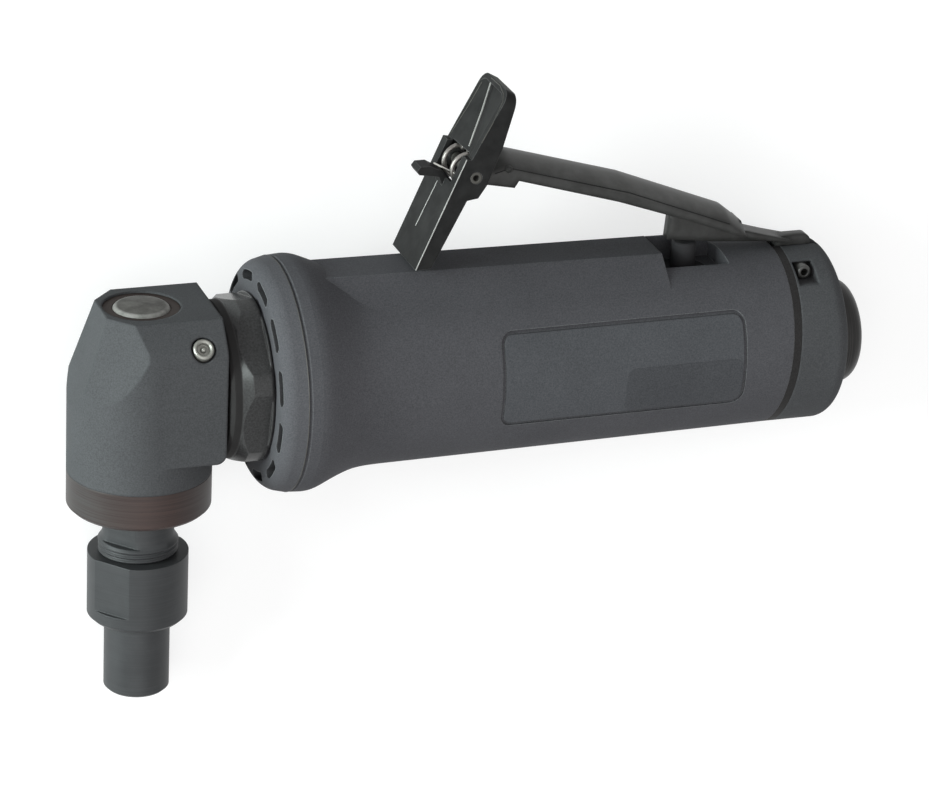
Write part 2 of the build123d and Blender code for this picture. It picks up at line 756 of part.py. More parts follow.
def rear_rotor_bearing():
    return tube_x(REAR_PLATE + PLATE_WEB, MOTOR_END, ROTOR_BEARING_R, JOURNAL_R + RUNNING)


def motor_cylinder():
    bore = Pos(0, 0, CYLINDER_OFFSET) * rod_x(FRONT_PLATE_END, REAR_PLATE, CYLINDER_BORE_R)
    return rod_x(FRONT_PLATE_END, REAR_PLATE, MOTOR_R) - bore - cylinder_dowel()


def vane_blocks():
    front = FRONT_PLATE_END + AIR
    rear = REAR_PLATE - AIR
    one = block(front, rear, -VANE / 2, VANE / 2, VANE_FOOT, ROTOR_R + AIR)
    return [Rot(X=VANE_TURN + 360 / VANES * index) * one for index in range(VANES)]


def rotor():
    front = FRONT_PLATE_END + AIR
    rear = REAR_PLATE - AIR
    body = turned_x([
        (COUPLING_FRONT, 0), (COUPLING_FRONT, COUPLING_R), (COUPLING_JOINT, COUPLING_R),
        (COUPLING_JOINT, JOURNAL_R), (front, JOURNAL_R), (front, ROTOR_R), (rear, ROTOR_R),
        (rear, JOURNAL_R), (ROTOR_TAIL, JOURNAL_R), (ROTOR_TAIL, 0)])
    for slot in vane_blocks():
        body -= slot
    return body


def rotor_vanes():
    round_bar = rod_x(FRONT_PLATE_END, REAR_PLATE, ROTOR_R)
    return Compound([vane & round_bar for vane in vane_blocks()])


# Throttle valve
def valve_bushing():
    return Pos(VALVE_X) * tube_z(
        VALVE_SLEEVE_BOTTOM, POCKET_FLOOR, VALVE_SLEEVE_R, STEM_R + RUNNING)


def throttle_plunger():
    return Pos(VALVE_X) * turned_z([
        (VALVE_BOTTOM, 0), (VALVE_BOTTOM, VALVE_R), (VALVE_TOP, VALVE_R), (VALVE_TOP, STEM_R),
        (STEM_TOP - AIR, STEM_R), (STEM_TOP, STEM_R - AIR), (STEM_TOP, 0)])


def valve_spring():
    return Pos(VALVE_X) * tube_z(VALVE_WELL_BOTTOM, VALVE_BOTTOM, SPRING_R, SPRING_BORE_R)


# Rear end
def lever_slot():
    """The slot for the lever's knuckle, which also notches the gasket."""
    half = RIB_HALF + AIR
    return block(GRIP_END, LEVER_SLOT_END, -half, half, LEVER_SLOT_FLOOR, GRIP_END_R)


def on_inlet(solid):
    """Moved from the motor axis to the inlet's own axis."""
    return Pos(0, 0, -INLET_DROP) * solid


def gasket():
    blank = tube_x(GRIP_END - lean_room(), GASKET_END + lean_room(), GRIP_END_R, GASKET_BORE_R)
    return behind(ahead_of(blank, GASKET_END), GRIP_END) - lever_slot()


def backhead():
    shell = rod_x(GASKET_END - lean_room(), BACKHEAD_END, GRIP_END_R)
    rim = shell.faces().sort_by(Axis.X)[-1].edges()
    shell = behind(fillet(rim, BACKHEAD_ROUND), GASKET_END)
    shell -= lever_slot()
    shell -= on_inlet(rod_x(GASKET_END - lean_room(), BUSHING_FRONT, GASKET_BORE_R))
    shell -= on_inlet(rod_x(BUSHING_FRONT, BACKHEAD_END, BUSHING_SHANK_R))
    shell -= lever_pin()
    pocket_depth = GRIP_END_R - PIN_POCKET_FLOOR
    for side in (-1, 1):
        middle = Pos(LEVER_PIN_X, side * (PIN_POCKET_FLOOR + pocket_depth / 2), LEVER_PIN_Z)
        shell -= middle * Box(PIN_POCKET_LENGTH, pocket_depth, PIN_POCKET_HEIGHT)
    return shell


def inlet_bushing():
    boss = rod_x(BACKHEAD_END, BUSHING_END, BUSHING_R)
    boss = fillet(boss.faces().sort_by(Axis.X)[-1].edges(), BUSHING_EDGE)
    shank = rod_x(BUSHING_FRONT, BACKHEAD_END, BUSHING_SHANK_R)
    return on_inlet(boss + shank - rod_x(BUSHING_FRONT, BUSHING_END, INLET_R))


def inlet_screen():
    return on_inlet(rod_x(SCREEN_FRONT, BUSHING_FRONT, GASKET_BORE_R))


def lever_pin():
    return rod_y(LEVER_PIN_X, LEVER_PIN_Z, LEVER_PIN_R, PIN_POCKET_FLOOR + LEVER_PIN_END)


# Throttle lever
def lever_outline():
    return [
        LEVER_BROW, LEVER_NOSE, LEVER_BEND, LEVER_BACK, LEVER_HEEL, LEVER_DROP,
        SKIRT_REAR, SKIRT_BACK, SKIRT_MIDDLE, SKIRT_STEP, TAB_REAR, TAB_FRONT,
        (LOCK_X, LOCK_Z - LEVER_EYE_R), (LOCK_X, LOCK_Z + LEVER_EYE_R)]


def lever_hollow():
    """The channel under the crown, open below and above the coil spring."""
    roof = LEVER_ROOF
    coil_rear = LOCK_X + COIL_R + AIR
    front = LOCK_X - LOCK_HALF
    rear = SKIRT_REAR[0] - 2 * LEVER_SKIN
    return [
        (front, LOCK_CREST[1]), (coil_rear, LOCK_CREST[1]),
        (coil_rear, LEVER_BROW[1] - roof), (LEVER_NOSE[0], LEVER_NOSE[1] - roof),
        (LEVER_BEND[0], LEVER_BEND[1] - roof), (LEVER_BACK[0] - LEVER_SKIN, LEVER_BACK[1] - roof),
        (rear, SKIRT_REAR[1]), (rear, BELOW_LEVER), (front, BELOW_LEVER)]


def crown_run(start, end):
    """A length of barrel-topped bar under one run of the crown."""
    shoulder = start[1] - CROWN_RISE
    foot = start[1] - CROWN_DEPTH
    barrel = ThreePointArc((-LEVER_HALF, shoulder), (0, start[1]), (LEVER_HALF, shoulder))
    sides = Polyline(
        (LEVER_HALF, shoulder), (LEVER_HALF, foot), (-LEVER_HALF, foot), (-LEVER_HALF, shoulder))
    run = Vector(end[0] - start[0], 0, end[1] - start[1])
    section = Plane.YZ.offset(start[0]) * make_face(barrel + sides)
    return extrude(section, run.length, dir=run.normalized())


def lever_crown():
    """Rounds the crown across its whole length."""
    eye_front = (LOCK_X - LEVER_EYE_R, LEVER_BROW[1])
    stations = (eye_front, LEVER_BROW, LEVER_NOSE, LEVER_BEND, LEVER_BACK, LEVER_HEEL, LEVER_DROP)
    roof = crown_run(stations[0], stations[1])
    for start, end in zip(stations[1:], stations[2:]):
        roof += crown_run(start, end)
    return roof


def crown_height(x):
    """Height of the crown's middle on its rear run."""
    share = (x - LEVER_BEND[0]) / (LEVER_BACK[0] - LEVER_BEND[0])
    return LEVER_BEND[1] + share * (LEVER_BACK[1] - LEVER_BEND[1])


def lever_web():
    """The thin web under the crown that presses the plunger."""
    front_x = RIB_FRONT[0] + LEVER_SKIN / 2
    front_top = (front_x, crown_height(front_x) - LEVER_SKIN)
    rear_top = (LEVER_BACK[0], LEVER_BACK[1] - LEVER_SKIN)
    return side_plate(
        [RIB_FRONT, RIB_MIDDLE, RIB_REAR, TAIL_MIDDLE, LEVER_DROP, rear_top, front_top], RIB_HALF)


def lever_tail():
    return side_plate(
        [LEVER_HEEL, LEVER_DROP, TAIL_MIDDLE, TAIL_TIP, TAIL_TOE, TAIL_LOW, SKIRT_REAR], TAIL_HALF)


def lever_knuckle():
    """The end of the web that sits in the backhead's slot and turns on the lever pin."""
    middle = Pos((KNUCKLE_FRONT + KNUCKLE_REAR) / 2, (KNUCKLE_TOP + KNUCKLE_BOTTOM) / 2)
    outline = RectangleRounded(
        KNUCKLE_REAR - KNUCKLE_FRONT, KNUCKLE_TOP - KNUCKLE_BOTTOM, KNUCKLE_ROUND)
    return extrude(Plane.XZ * (middle * outline), RIB_HALF, both=True)


def throttle_lever():
    lever = side_plate(lever_outline(), LEVER_HALF) & lever_crown()
    lever += rod_y(LOCK_X, LOCK_Z, LEVER_EYE_R, LEVER_HALF)
    lever -= side_plate(lever_hollow(), LEVER_HALF - LEVER_SKIN)
    lever += lever_web() + lever_tail() + lever_knuckle()
    lever -= rod_y(LEVER_PIN_X, LEVER_PIN_Z, LEVER_PIN_R + RUNNING, LEVER_HALF)
    return lever - rod_y(LOCK_X, LOCK_Z, LOCK_PIN_R, LEVER_HALF)


# Lock lever
def lock_face(low, high, height):
    """Plane on a run of the front face, height measured along it from the foot of the pin."""
    along = Vector(high[0] - low[0], 0, high[1] - low[1]).normalized()
    outward = Vector(-along.Z, 0, along.X)
    pin = Vector(LOCK_X, 0, LOCK_Z)
    on_face = Vector(low[0], 0, low[1])
    foot = pin + outward * (on_face - pin).dot(outward)
    return Plane(origin=foot + along * height, x_dir=(0, -1, 0), z_dir=outward)


def lock_outline():
    return [
        LOCK_TOE, LOCK_HEEL, LOCK_HEEL_TOP, LOCK_NOTCH, LOCK_EAR_LOW, LOCK_EAR, LOCK_BACK_MIDDLE,
        LOCK_BACK_TOP, LOCK_CREST_BACK, LOCK_CREST, LOCK_STEP, LOCK_KNEE]


def skin_step(low, high):
    """How far back the inner face lies, measured level."""
    return LOCK_SKIN / math.cos(math.atan2(high[0] - low[0], high[1] - low[1]))


def lock_hollow():
    """Inside of the folded channel, open at the back and below."""
    low_step = skin_step(LOCK_TOE, LOCK_KNEE)
    high_step = skin_step(LOCK_STEP, LOCK_CREST)
    behind = LOCK_CREST[0] + LOCK_HALF
    roof = LOCK_CREST_BACK[1] - LOCK_LIP
    slope = (LOCK_CREST[0] - LOCK_STEP[0]) / (LOCK_CREST[1] - LOCK_STEP[1])
    roof_x = LOCK_STEP[0] + slope * (roof - LOCK_STEP[1])
    floor = LOCK_TOE[1] - AIR
    return [
        (LOCK_TOE[0] + low_step, floor), (LOCK_TOE[0] + low_step, LOCK_TOE[1]),
        (LOCK_KNEE[0] + low_step, LOCK_KNEE[1]), (LOCK_STEP[0] + high_step, LOCK_STEP[1]),
        (roof_x + high_step, roof), (behind, roof), (behind, floor)]


def lock_crest_height():
    crest = Vector(LOCK_CREST[0], 0, LOCK_CREST[1])
    return lock_face(LOCK_STEP, LOCK_CREST, 0).to_local_coords(crest).Y


def lock_lever():
    lever = side_plate(lock_outline(), LOCK_HALF)
    lever -= side_plate(lock_hollow(), LOCK_HALF - LOCK_SKIN)
    lever = lever & lock_front_view()
    window = Box(2 * WINDOW_HALF, WINDOW_HIGH - WINDOW_LOW, 4 * LOCK_SKIN)
    lever -= lock_face(LOCK_TOE, LOCK_KNEE, (WINDOW_HIGH + WINDOW_LOW) / 2).location * window
    lever += lock_thumb()
    lever -= lock_panel()
    return lever - rod_y(LOCK_X, LOCK_Z, LOCK_PIN_R + RUNNING, LOCK_HALF)


def lock_front_view():
    """Rounds the paddle's top corners in front view."""
    height = 2 * LOCK_Z
    middle = lock_face(LOCK_STEP, LOCK_CREST, lock_crest_height() - height / 2)
    outline = RectangleRounded(2 * LOCK_HALF, height, LOCK_TOP_ROUND)
    return extrude(middle * outline, height / 2, both=True)


def lock_thumb():
    """The tab folded forward below the window for the thumb."""
    return side_plate([
        THUMB_ROOT_TOP, THUMB_BROW, THUMB_TOP, THUMB_TIP_TOP, THUMB_TIP, THUMB_TIP_LOW,
        THUMB_LOW, THUMB_ROOT, THUMB_ROOT_BACK], THUMB_HALF)


def valley_section(face, deepest):
    """Two slopes across a plane of the paddle that meet at their deepest line."""
    points = [
        (-LOCK_PANEL_FAR, AIR), (LOCK_PANEL_NEAR, AIR), (LOCK_PANEL_NEAR, 0),
        (deepest, -VALLEY_DEPTH), (-LOCK_PANEL_FAR, 0)]
    return make_face(Polyline(*[face.from_local_coords((x, 0, z)) for x, z in points], close=True))


def lock_panel():
    """The paddle's dished upper half, from the window up to a rounded brow."""
    top = lock_crest_height() - LOCK_LIP
    foot = lock_face(LOCK_STEP, LOCK_CREST, WINDOW_HIGH - AIR)
    brow = lock_face(LOCK_STEP, LOCK_CREST, top)
    valley = loft([valley_section(foot, VALLEY_FOOT), valley_section(brow, VALLEY_TOP)], ruled=True)
    across = (LOCK_PANEL_NEAR - LOCK_PANEL_FAR) / 2
    sunk = Pos(across, -top) * RectangleRounded(
        LOCK_PANEL_NEAR + LOCK_PANEL_FAR, 2 * top, LOCK_PANEL_ROUND)
    return valley & extrude(brow * sunk, LOCK_HALF, both=True)


def lock_pin():
    return rod_y(LOCK_X, LOCK_Z, LOCK_PIN_R, LOCK_HALF) - rod_y(
        LOCK_X, LOCK_Z, LOCK_PIN_BORE_R, LOCK_HALF)


def lock_spring():
    return rod_y(LOCK_X, LOCK_Z, COIL_R, COIL_HALF) - rod_y(LOCK_X, LOCK_Z, COIL_BORE_R, COIL_HALF)


# The tool laid on its side, on the bulge, the backhead's rim and the collet nut's nose
def lying_turn():
    rear_rim = BACKHEAD_END - BACKHEAD_ROUND
    pitch = math.atan2(BULGE_R - GRIP_END_R, rear_rim - BULGE)
    under_axis = BULGE_R + BULGE * math.tan(pitch)
    reach = -NOSE_END - NOSE_EDGE
    roll = math.asin(under_axis / math.hypot(reach, NOSE_R)) - math.atan2(NOSE_R, reach)
    return Rot(Y=-math.degrees(pitch)) * Rot(Z=180) * Rot(X=math.degrees(roll) - 90)


def to_bottom_centre(pieces):
    box = Compound(pieces).bounding_box()
    middle = box.center()
    return Pos(-middle.X, -middle.Y, -box.min.Z)


PIECES = (
    angle_head, head_plug, plug_ring, grease_fitting, bearing_cap, upper_spindle_bearing,
    lower_spindle_bearing, spindle, bevel_gear, bevel_pinion, pinion_bearing, collet,
    collet_nut, coupling_nut, front_hub, exhaust_deflector, silencer_felt, grip_housing,
    front_end_plate, front_rotor_bearing, motor_cylinder, cylinder_dowel, rotor, rotor_vanes,
    rear_end_plate, rear_rotor_bearing, valve_bushing, throttle_plunger, valve_spring, gasket,
    backhead, inlet_screen, inlet_bushing, lever_pin, throttle_lever, lock_pin, lock_spring,
    lock_lever)

os.makedirs("parts", exist_ok=True)
turn = lying_turn()
laid = {piece.__name__: turn * piece() for piece in PIECES}
shift = to_bottom_centre(laid.values())
for node, solid in laid.items():
    export_step(shift * solid, f"parts/{node}.step")
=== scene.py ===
import json
import math

import bmesh
import bpy
from mathutils import Matrix, Vector


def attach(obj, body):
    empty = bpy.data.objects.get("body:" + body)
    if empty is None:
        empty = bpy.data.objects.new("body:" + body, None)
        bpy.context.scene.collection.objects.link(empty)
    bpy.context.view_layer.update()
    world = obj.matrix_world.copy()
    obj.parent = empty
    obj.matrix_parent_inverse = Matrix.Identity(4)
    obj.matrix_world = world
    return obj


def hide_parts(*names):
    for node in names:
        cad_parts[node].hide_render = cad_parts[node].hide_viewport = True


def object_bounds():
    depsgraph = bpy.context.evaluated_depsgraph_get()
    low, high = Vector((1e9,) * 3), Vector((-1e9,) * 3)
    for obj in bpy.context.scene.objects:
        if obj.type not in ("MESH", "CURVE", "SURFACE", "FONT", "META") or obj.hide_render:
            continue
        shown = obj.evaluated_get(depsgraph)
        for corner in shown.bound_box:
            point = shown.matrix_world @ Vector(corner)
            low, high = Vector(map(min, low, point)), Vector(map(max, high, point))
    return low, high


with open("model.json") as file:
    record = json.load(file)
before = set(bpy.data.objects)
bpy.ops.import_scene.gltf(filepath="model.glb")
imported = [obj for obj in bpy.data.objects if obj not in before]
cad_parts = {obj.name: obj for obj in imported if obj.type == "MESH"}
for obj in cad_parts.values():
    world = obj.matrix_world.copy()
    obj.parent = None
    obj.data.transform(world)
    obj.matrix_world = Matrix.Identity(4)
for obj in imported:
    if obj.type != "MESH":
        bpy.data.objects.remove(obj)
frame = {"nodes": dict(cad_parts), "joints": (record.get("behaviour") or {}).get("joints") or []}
cad_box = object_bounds()

# Sizes are millimetres in the tool frame: origin where the motor and spindle axes cross,
# x back along the grip, z up towards the lever, the label on the -y side.
MM = 0.001

# Spindle: shaft, neck with two flats, threaded collar, thread of the nut and socket of the collet
SPINDLE_TOP = 13.5
JOURNAL_R = 4.0
SEAT_TOP = -5.7
SEAT_R = 5.0
NECK_TOP = -17.9
NECK_R = 7.2
NECK_BOTTOM = -32.4
NECK_BOTTOM_R = 7.7
FLARE_TOP = -31.6
COLLAR_TOP = -33.0
COLLAR_BOTTOM = -35.35
COLLAR_R = 8.1
COLLAR_PITCH = 0.95
COLLAR_DEPTH = 0.45
NECK_FLAT = 6.3
FLATS_TOP = -25.5
FLATS_FACING = 42.0
THREAD_R = 6.0
THREAD_DEPTH = 0.75
THREAD_PITCH = 1.25
THREAD_BOTTOM = -46.0
SOCKET_MOUTH_R = 5.0
SOCKET_FLOOR_R = 3.7
SOCKET_FLOOR = -41.0
BORE_R = 3.5
BORE_TOP = -28.0

# Air inlet
INLET_FRONT = 139.0
INLET_JOINT = 145.0
INLET_REAR = 152.0
INLET_SHANK_R = 8.4
INLET_R = 11.0
INLET_DROP = 1.5
INLET_EDGE = 3.4
INLET_BORE_R = 6.0
PIPE_PITCH = 1.41
PIPE_DEPTH = 0.7

# Where the coupling nut's collar, painted darker as painted shade from the head, ends and its
# chamfer starts, and how far the two finishes blend
HEX_CHAMFER = 16.5
HEX_BLEND = 0.2

# Half the width over which the bearing cap turns from grey to brown and back: the grey sides are a
# painted sheen
CAP_SIDE = 13.0

# Front ring, from its flat face out to its shoulder, and the outer radius of its slots
RING_FRONT = 22.9
RING_FACE_R = 20.6
RING_SHOULDER = 25.4
RING_SHOULDER_R = 23.2
SLOT_OUTER_R = 21.2

# Painted shade in the slots: its margin outside them, and the depths where it starts and where it
# covers
SLOT_MARGIN = 0.1
SHADE_START = 0.02
SHADE_FULL = 0.08

# Pin pockets in the sides of the backhead, painted darker inside as painted shade, and the lever's
# pin in them
POCKET_MOUTH_R = 18.7
POCKET_DARK_R = 18.0
POCKET_REAR = 140.0
POCKET_FADE = 0.5
PIN_R = 1.45
PIN_BORE_R = 0.75
PIN_END = 9.3
PIN_ROUND = 0.35

# Grease fitting
FITTING_PLACE = (8.95, -13.61, 12.5)
FITTING_FACING = (0.0, -0.747, 0.665)
FITTING_R = 2.1
FITTING_RISE = 0.3
FITTING_DEPTH = 2.0
FITTING_CUP_R = 1.25
FITTING_CUP = 0.9
FITTING_LIP = 0.35
FITTING_BALL_R = 0.55
BALL_POLE = 8.0

# Lock spring, wound round the lock lever's pin: a turn moves on by COIL_ADVANCE wire radii
WIRE_R = 0.52
COIL_R = 3.2
COIL_SIDES = (-2.5, 3.6)
COIL_TURNS = 1.25
COIL_STEPS = 24
COIL_ADVANCE = 2.2
LEG_R = 0.2
LEG_START = (62.7, -2.6, 40.7)
LEG_END = (60.9, 4.6, 40.4)

# Painted lines along the pressed lines of the two levers: painted highlights on the lock lever,
# painted shade along the throttle lever's crown
LINE_R = 0.12
VALLEY_R = 0.18
BORDER_R = 0.1
FOLD_LINE = ((53.85, -7.3, 22.65), (63.5, -7.3, 45.15))
VALLEY_LINE = ((71.1, 2.03, 57.4), (68.7, -0.45, 52.8), (65.3, -3.18, 46.4))
CREASE_LINE = ((60.7, 0.8, 38.67), (56.42, 1.29, 28.7))
PANEL_FAR = ((70.73, 6.0, 56.31), (67.96, 6.02, 51.26), (64.86, 6.75, 45.63))
PANEL_NEAR = ((71.55, 3.1, 58.05), (71.6, -2.0, 58.15), (71.25, -5.1, 57.5),
              (70.65, -6.6, 56.4), (68.55, -7.3, 52.4), (66.4, -7.3, 48.4))
CROWN_LINE = ((70.0, -5.85, 41.2), (73.2, -5.85, 42.1), (98.8, -5.85, 35.0),
              (121.4, -5.85, 26.4))

# Crown of the throttle lever: its paint turns lighter, a painted highlight, between two values of
# CROWN_SLOPE * x + z
CROWN_SLOPE = 0.326
CROWN_SIDE = 66.4
CROWN_TOP = 67.6

# Nub on the throttle lever's near side
NUB_PLACE = (72.9, -5.9, 41.9)
NUB_R = 0.75
NUB_RISE = 0.2

# Painted highlight: a pale line on the seam where the front ring meets the grip
SEAM = 27.6
SEAM_R = 23.67
SEAM_WIRE = 0.1
SEAM_STEPS = 96

# Plug in the head's top
PLUG_BOTTOM = 14.0
PLUG_R = 5.75
PLUG_SHOULDER = 1.1
PLUG_EDGE = 17.2
PLUG_CROWN = 17.5
PLUG_FLAT_R = PLUG_R - PLUG_SHOULDER

# Label panel, and the grip's taper under it
LABEL_FRONT = 69.0
LABEL_REAR = 121.6
LABEL_TOP = 11.6
LABEL_BOTTOM = -7.9
LABEL_GROOVE = 0.7
LABEL_CORNER = 1.9
FIELD_FRONT = 95.5
FIELD_TOP = 2.4
FILM = 0.05
FILM_STRIPS = 24
WAIST = 48.0
WAIST_R = 19.9
GRIP_END = 131.7
GRIP_END_R = 19.0

# Fineness of the drawn forms
ROUND_STEPS = 96
TURN_STEPS = 8
EDGE_STEPS = 12
DOME_STEPS = 10
BALL_STEPS = 8
CORNER_STEPS = 6
WIRE_FINENESS = 4
SHARP_ANGLE = 35.0

# Camera, fitted to the photograph
CAMERA_EYE = (-188.63, -701.74, 312.16)
CAMERA_AIM = (63.81, -11.74, -4.34)
CAMERA_UP = (0.0896, 0.3880, 0.9173)
LENS = 155.0
SENSOR = 36.0

# Studio, in metres and watts. A lamp's direction is right, up and towards the camera in the picture.
FLOOR_REACH = 3.0
FLOOR_GLOW = 0.64
WORLD_STRENGTH = 0.40
LAMP_DISTANCE = 1.2
KEY_TINT = (0.90, 1.0, 0.98)
WHITE = (1.0, 1.0, 1.0)
BLACK = (0.0, 0.0, 0.0)
LAMPS = {
    "key": {"direction": (-0.94, 0.08, 0.35), "size": 0.8, "watts": 29.0, "tint": KEY_TINT},
    "front": {"direction": (0.1, -0.42, 0.9), "size": 1.4, "watts": 10.0, "tint": WHITE},
    "side": {"direction": (-0.69, 0.0, 0.725), "size": 0.25, "watts": 4.5, "tint": KEY_TINT},
}

JOINTS = {joint["name"]: joint for joint in frame["joints"]}


def tool_matrix():
    """The tool frame, found from the motor's and the spindle's joint."""
    back = Vector(JOINTS["rotor_spin"]["axis"]).normalized()
    up = Vector(JOINTS["spindle_spin"]["axis"]).normalized()
    on_motor = Vector(JOINTS["rotor_spin"]["pos_m"])
    on_spindle = Vector(JOINTS["spindle_spin"]["pos_m"])
    crossing = on_motor + back * (on_spindle - on_motor).dot(back)
    turn = Matrix((back, up.cross(back), up)).transposed()
    return Matrix.Translation(crossing) @ turn.to_4x4()


TOOL = tool_matrix()


def placed(point):
    """A tool-frame point in millimetres as a row-frame point in metres."""
    return TOOL @ (Vector(point) * MM)


def in_tool(point):
    """A row-frame point in metres as a tool-frame point in millimetres."""
    return TOOL.inverted() @ Vector(point) / MM


# Stretches of the noise: even, drawn out around an axis, or along the felt's fibres
EVEN = (1.0, 1.0, 1.0)
ROUND_X = (120.0, 1.0, 1.0)
ROUND_Z = (1.0, 1.0, 120.0)
FIBRE_WAY = (1.0, 0.3, 1.0)

# Cells in a metre and detail of the noise
FINE_GRAIN = (3400.0, 2.0)
MEDIUM_GRAIN = (2600.0, 2.0)
COARSE_GRAIN = (1500.0, 2.0)
FIBRES = (2500.0, 4.0)
PEEL = (900.0, 1.0)
PLUG_MOTTLE = (420.0, 4.0)
DUST = (260.0, 5.0)
STEEL_MOTTLE = (160.0, 3.0)
PAINT_MOTTLE = (70.0, 3.0)
LATHE_LINES = (45.0, 4.0)
CLOUD = (6.0, 3.0)
NOISE_ROUGHNESS = 0.6

# How much less and how much more than the mean a finish's roughness gets
GRAIN_SPREAD = (0.06, 0.06)
TURNED_SPREAD = (0.06, 0.08)
ENAMEL_SPREAD = (0.05, 0.12)
OXIDE_SPREAD = (0.07, 0.10)

# Edges: rays of the rounding, and the cosine of the turn at which an edge counts in full
ROUND_RAYS = 8
EDGE_TURN = 0.9

# Directions and planes in the tool frame
GRIP_WAY = (1.0, 0.0, 0.0)
CROWN_WAY = (CROWN_SLOPE, 0.0, 1.0)
ACROSS = {"X": (0.0, 1.0, 1.0), "Z": (1.0, 1.0, 0.0)}


# Node helpers
class Shader:
    """A principled material and short calls that add nodes to it."""

    def __init__(self, name, roughness, metallic=0.0, gloss=0.5):
        self.material = bpy.data.materials.new(name)
        self.material.use_nodes = True
        self.tree = self.material.node_tree
        self.surface = self.tree.nodes["Principled BSDF"]
        self.surface.inputs["Roughness"].default_value = roughness
        self.surface.inputs["Metallic"].default_value = metallic
        self.surface.inputs["Specular IOR Level"].default_value = gloss

    def add(self, kind, **values):
        node = self.tree.nodes.new(kind)
        for name, value in values.items():
            setattr(node, name, value)
        return node

    def link(self, start, end):
        self.tree.links.new(start, end)

    def feed(self, name, output):
        """Drive one of the surface's inputs."""
        self.link(output, self.surface.inputs[name])

    def colour(self, output):
        self.feed("Base Color", output)

    def places(self, stretch):
        """Tool-frame coordinates in metres, stretched along each axis."""
        inverse = TOOL.inverted()
        coords = self.add("ShaderNodeTexCoord")
        turned = self.add("ShaderNodeMapping")
        turned.inputs["Rotation"].default_value = inverse.to_euler()
        turned.inputs["Location"].default_value = inverse.to_translation()
        scaled = self.add("ShaderNodeMapping")
        scaled.inputs["Scale"].default_value = stretch
        self.link(coords.outputs["Object"], turned.inputs["Vector"])
        self.link(turned.outputs["Vector"], scaled.inputs["Vector"])
        return scaled.outputs["Vector"]

    def along(self, way):
        """The tool-frame place's dot product with a way, in metres."""
        node = self.add("ShaderNodeVectorMath", operation="DOT_PRODUCT")
        node.inputs[1].default_value = way
        self.link(self.places(EVEN), node.inputs[0])
        return node.outputs["Value"]

    def from_axis(self, axis):
        """Distance in metres from the motor axis, X, or the spindle axis, Z."""
        node = self.add("ShaderNodeVectorMath", operation="LENGTH")
        self.link(self.places(ACROSS[axis]), node.inputs[0])
        return node.outputs["Value"]

    def math(self, operation, first, second):
        node = self.add("ShaderNodeMath", operation=operation)
        self.link(first, node.inputs[0])
        self.link(second, node.inputs[1])
        return node.outputs["Value"]

    def ranged(self, value, low, high, at_low=0.0, at_high=1.0):
        """at_low where the value is low, at_high where it is high, even between, level beyond."""
        node = self.add("ShaderNodeMapRange")
        node.inputs["From Min"].default_value = low
        node.inputs["From Max"].default_value = high
        node.inputs["To Min"].default_value = at_low
        node.inputs["To Max"].default_value = at_high
        self.link(value, node.inputs["Value"])
        return node.outputs["Result"]

    def between(self, value, low, high):
        """0 at low millimetres, 1 at high."""
        return self.ranged(value, low * MM, high * MM)

    def scaled(self, factor, start, end):
        """A factor from 0 to 1 as a value from start to end."""
        return self.ranged(factor, 0.0, 1.0, start, end)

    def noise(self, stretch, cells, detail):
        node = self.add("ShaderNodeTexNoise")
        node.inputs["Scale"].default_value = cells
        node.inputs["Detail"].default_value = detail
        node.inputs["Roughness"].default_value = NOISE_ROUGHNESS
        self.link(self.places(stretch), node.inputs["Vector"])
        return node.outputs["Fac"]

    def ramp(self, factor, *stops):
        """Colours along a factor: stops are (place, colour)."""
        node = self.add("ShaderNodeValToRGB")
        elements = node.color_ramp.elements
        while len(elements) < len(stops):
            elements.new(1.0)
        for element, (place, colour) in zip(elements, stops):
            element.position = place
            element.color = (*colour, 1.0)
        self.link(factor, node.inputs["Fac"])
        return node.outputs["Color"]

    def shades(self, factor, dark, light, low=0.3, high=0.7):
        """Colours from dark, where the factor is low, to light, where it is high."""
        return self.ramp(factor, (low, dark), (high, light))

    def mixed(self, factor, first, second):
        node = self.add("ShaderNodeMix", data_type="RGBA")
        self.link(factor, node.inputs["Factor"])
        self.link(first, node.inputs["A"])
        self.link(second, node.inputs["B"])
        return node.outputs["Result"]

    def dimmed(self, tint, factor, level):
        """A tint that is dimmed to a level where the factor is low."""
        node = self.add("ShaderNodeMix", data_type="RGBA", blend_type="MULTIPLY")
        node.inputs["Factor"].default_value = 1.0
        self.link(tint, node.inputs["A"])
        self.link(self.shades(factor, (level, level, level), WHITE), node.inputs["B"])
        return node.outputs["Result"]

    def rounded(self, radius):
        """The surface's normal with its sharp edges rounded off."""
        node = self.add("ShaderNodeBevel", samples=ROUND_RAYS)
        node.inputs["Radius"].default_value = radius * MM
        return node.outputs["Normal"]

    def edges(self, width):
        """1 along the sharp edges of the solid, 0 on its faces."""
        plain = self.add("ShaderNodeNewGeometry")
        dot = self.add("ShaderNodeVectorMath", operation="DOT_PRODUCT")
        self.link(self.rounded(width), dot.inputs[0])
        self.link(plain.outputs["Normal"], dot.inputs[1])
        return self.ranged(dot.outputs["Value"], 1.0, EDGE_TURN)

    def roughen(self, factor, mean, spread):
        """Roughness that varies along a factor."""
        less, more = spread
        self.feed("Roughness", self.scaled(factor, mean - less, mean + more))

    def bump(self, height, strength, depth, round_edges):
        node = self.add("ShaderNodeBump")
        node.inputs["Strength"].default_value = strength
        node.inputs["Distance"].default_value = depth * MM
        self.link(height, node.inputs["Height"])
        self.link(self.rounded(round_edges), node.inputs["Normal"])
        self.feed("Normal", node.outputs["Normal"])


# Painted shade in hollows: a darker colour where shade falls in them
SHADE_DARK = (0.040, 0.040, 0.042)
SHADE_LIGHT = (0.056, 0.056, 0.059)


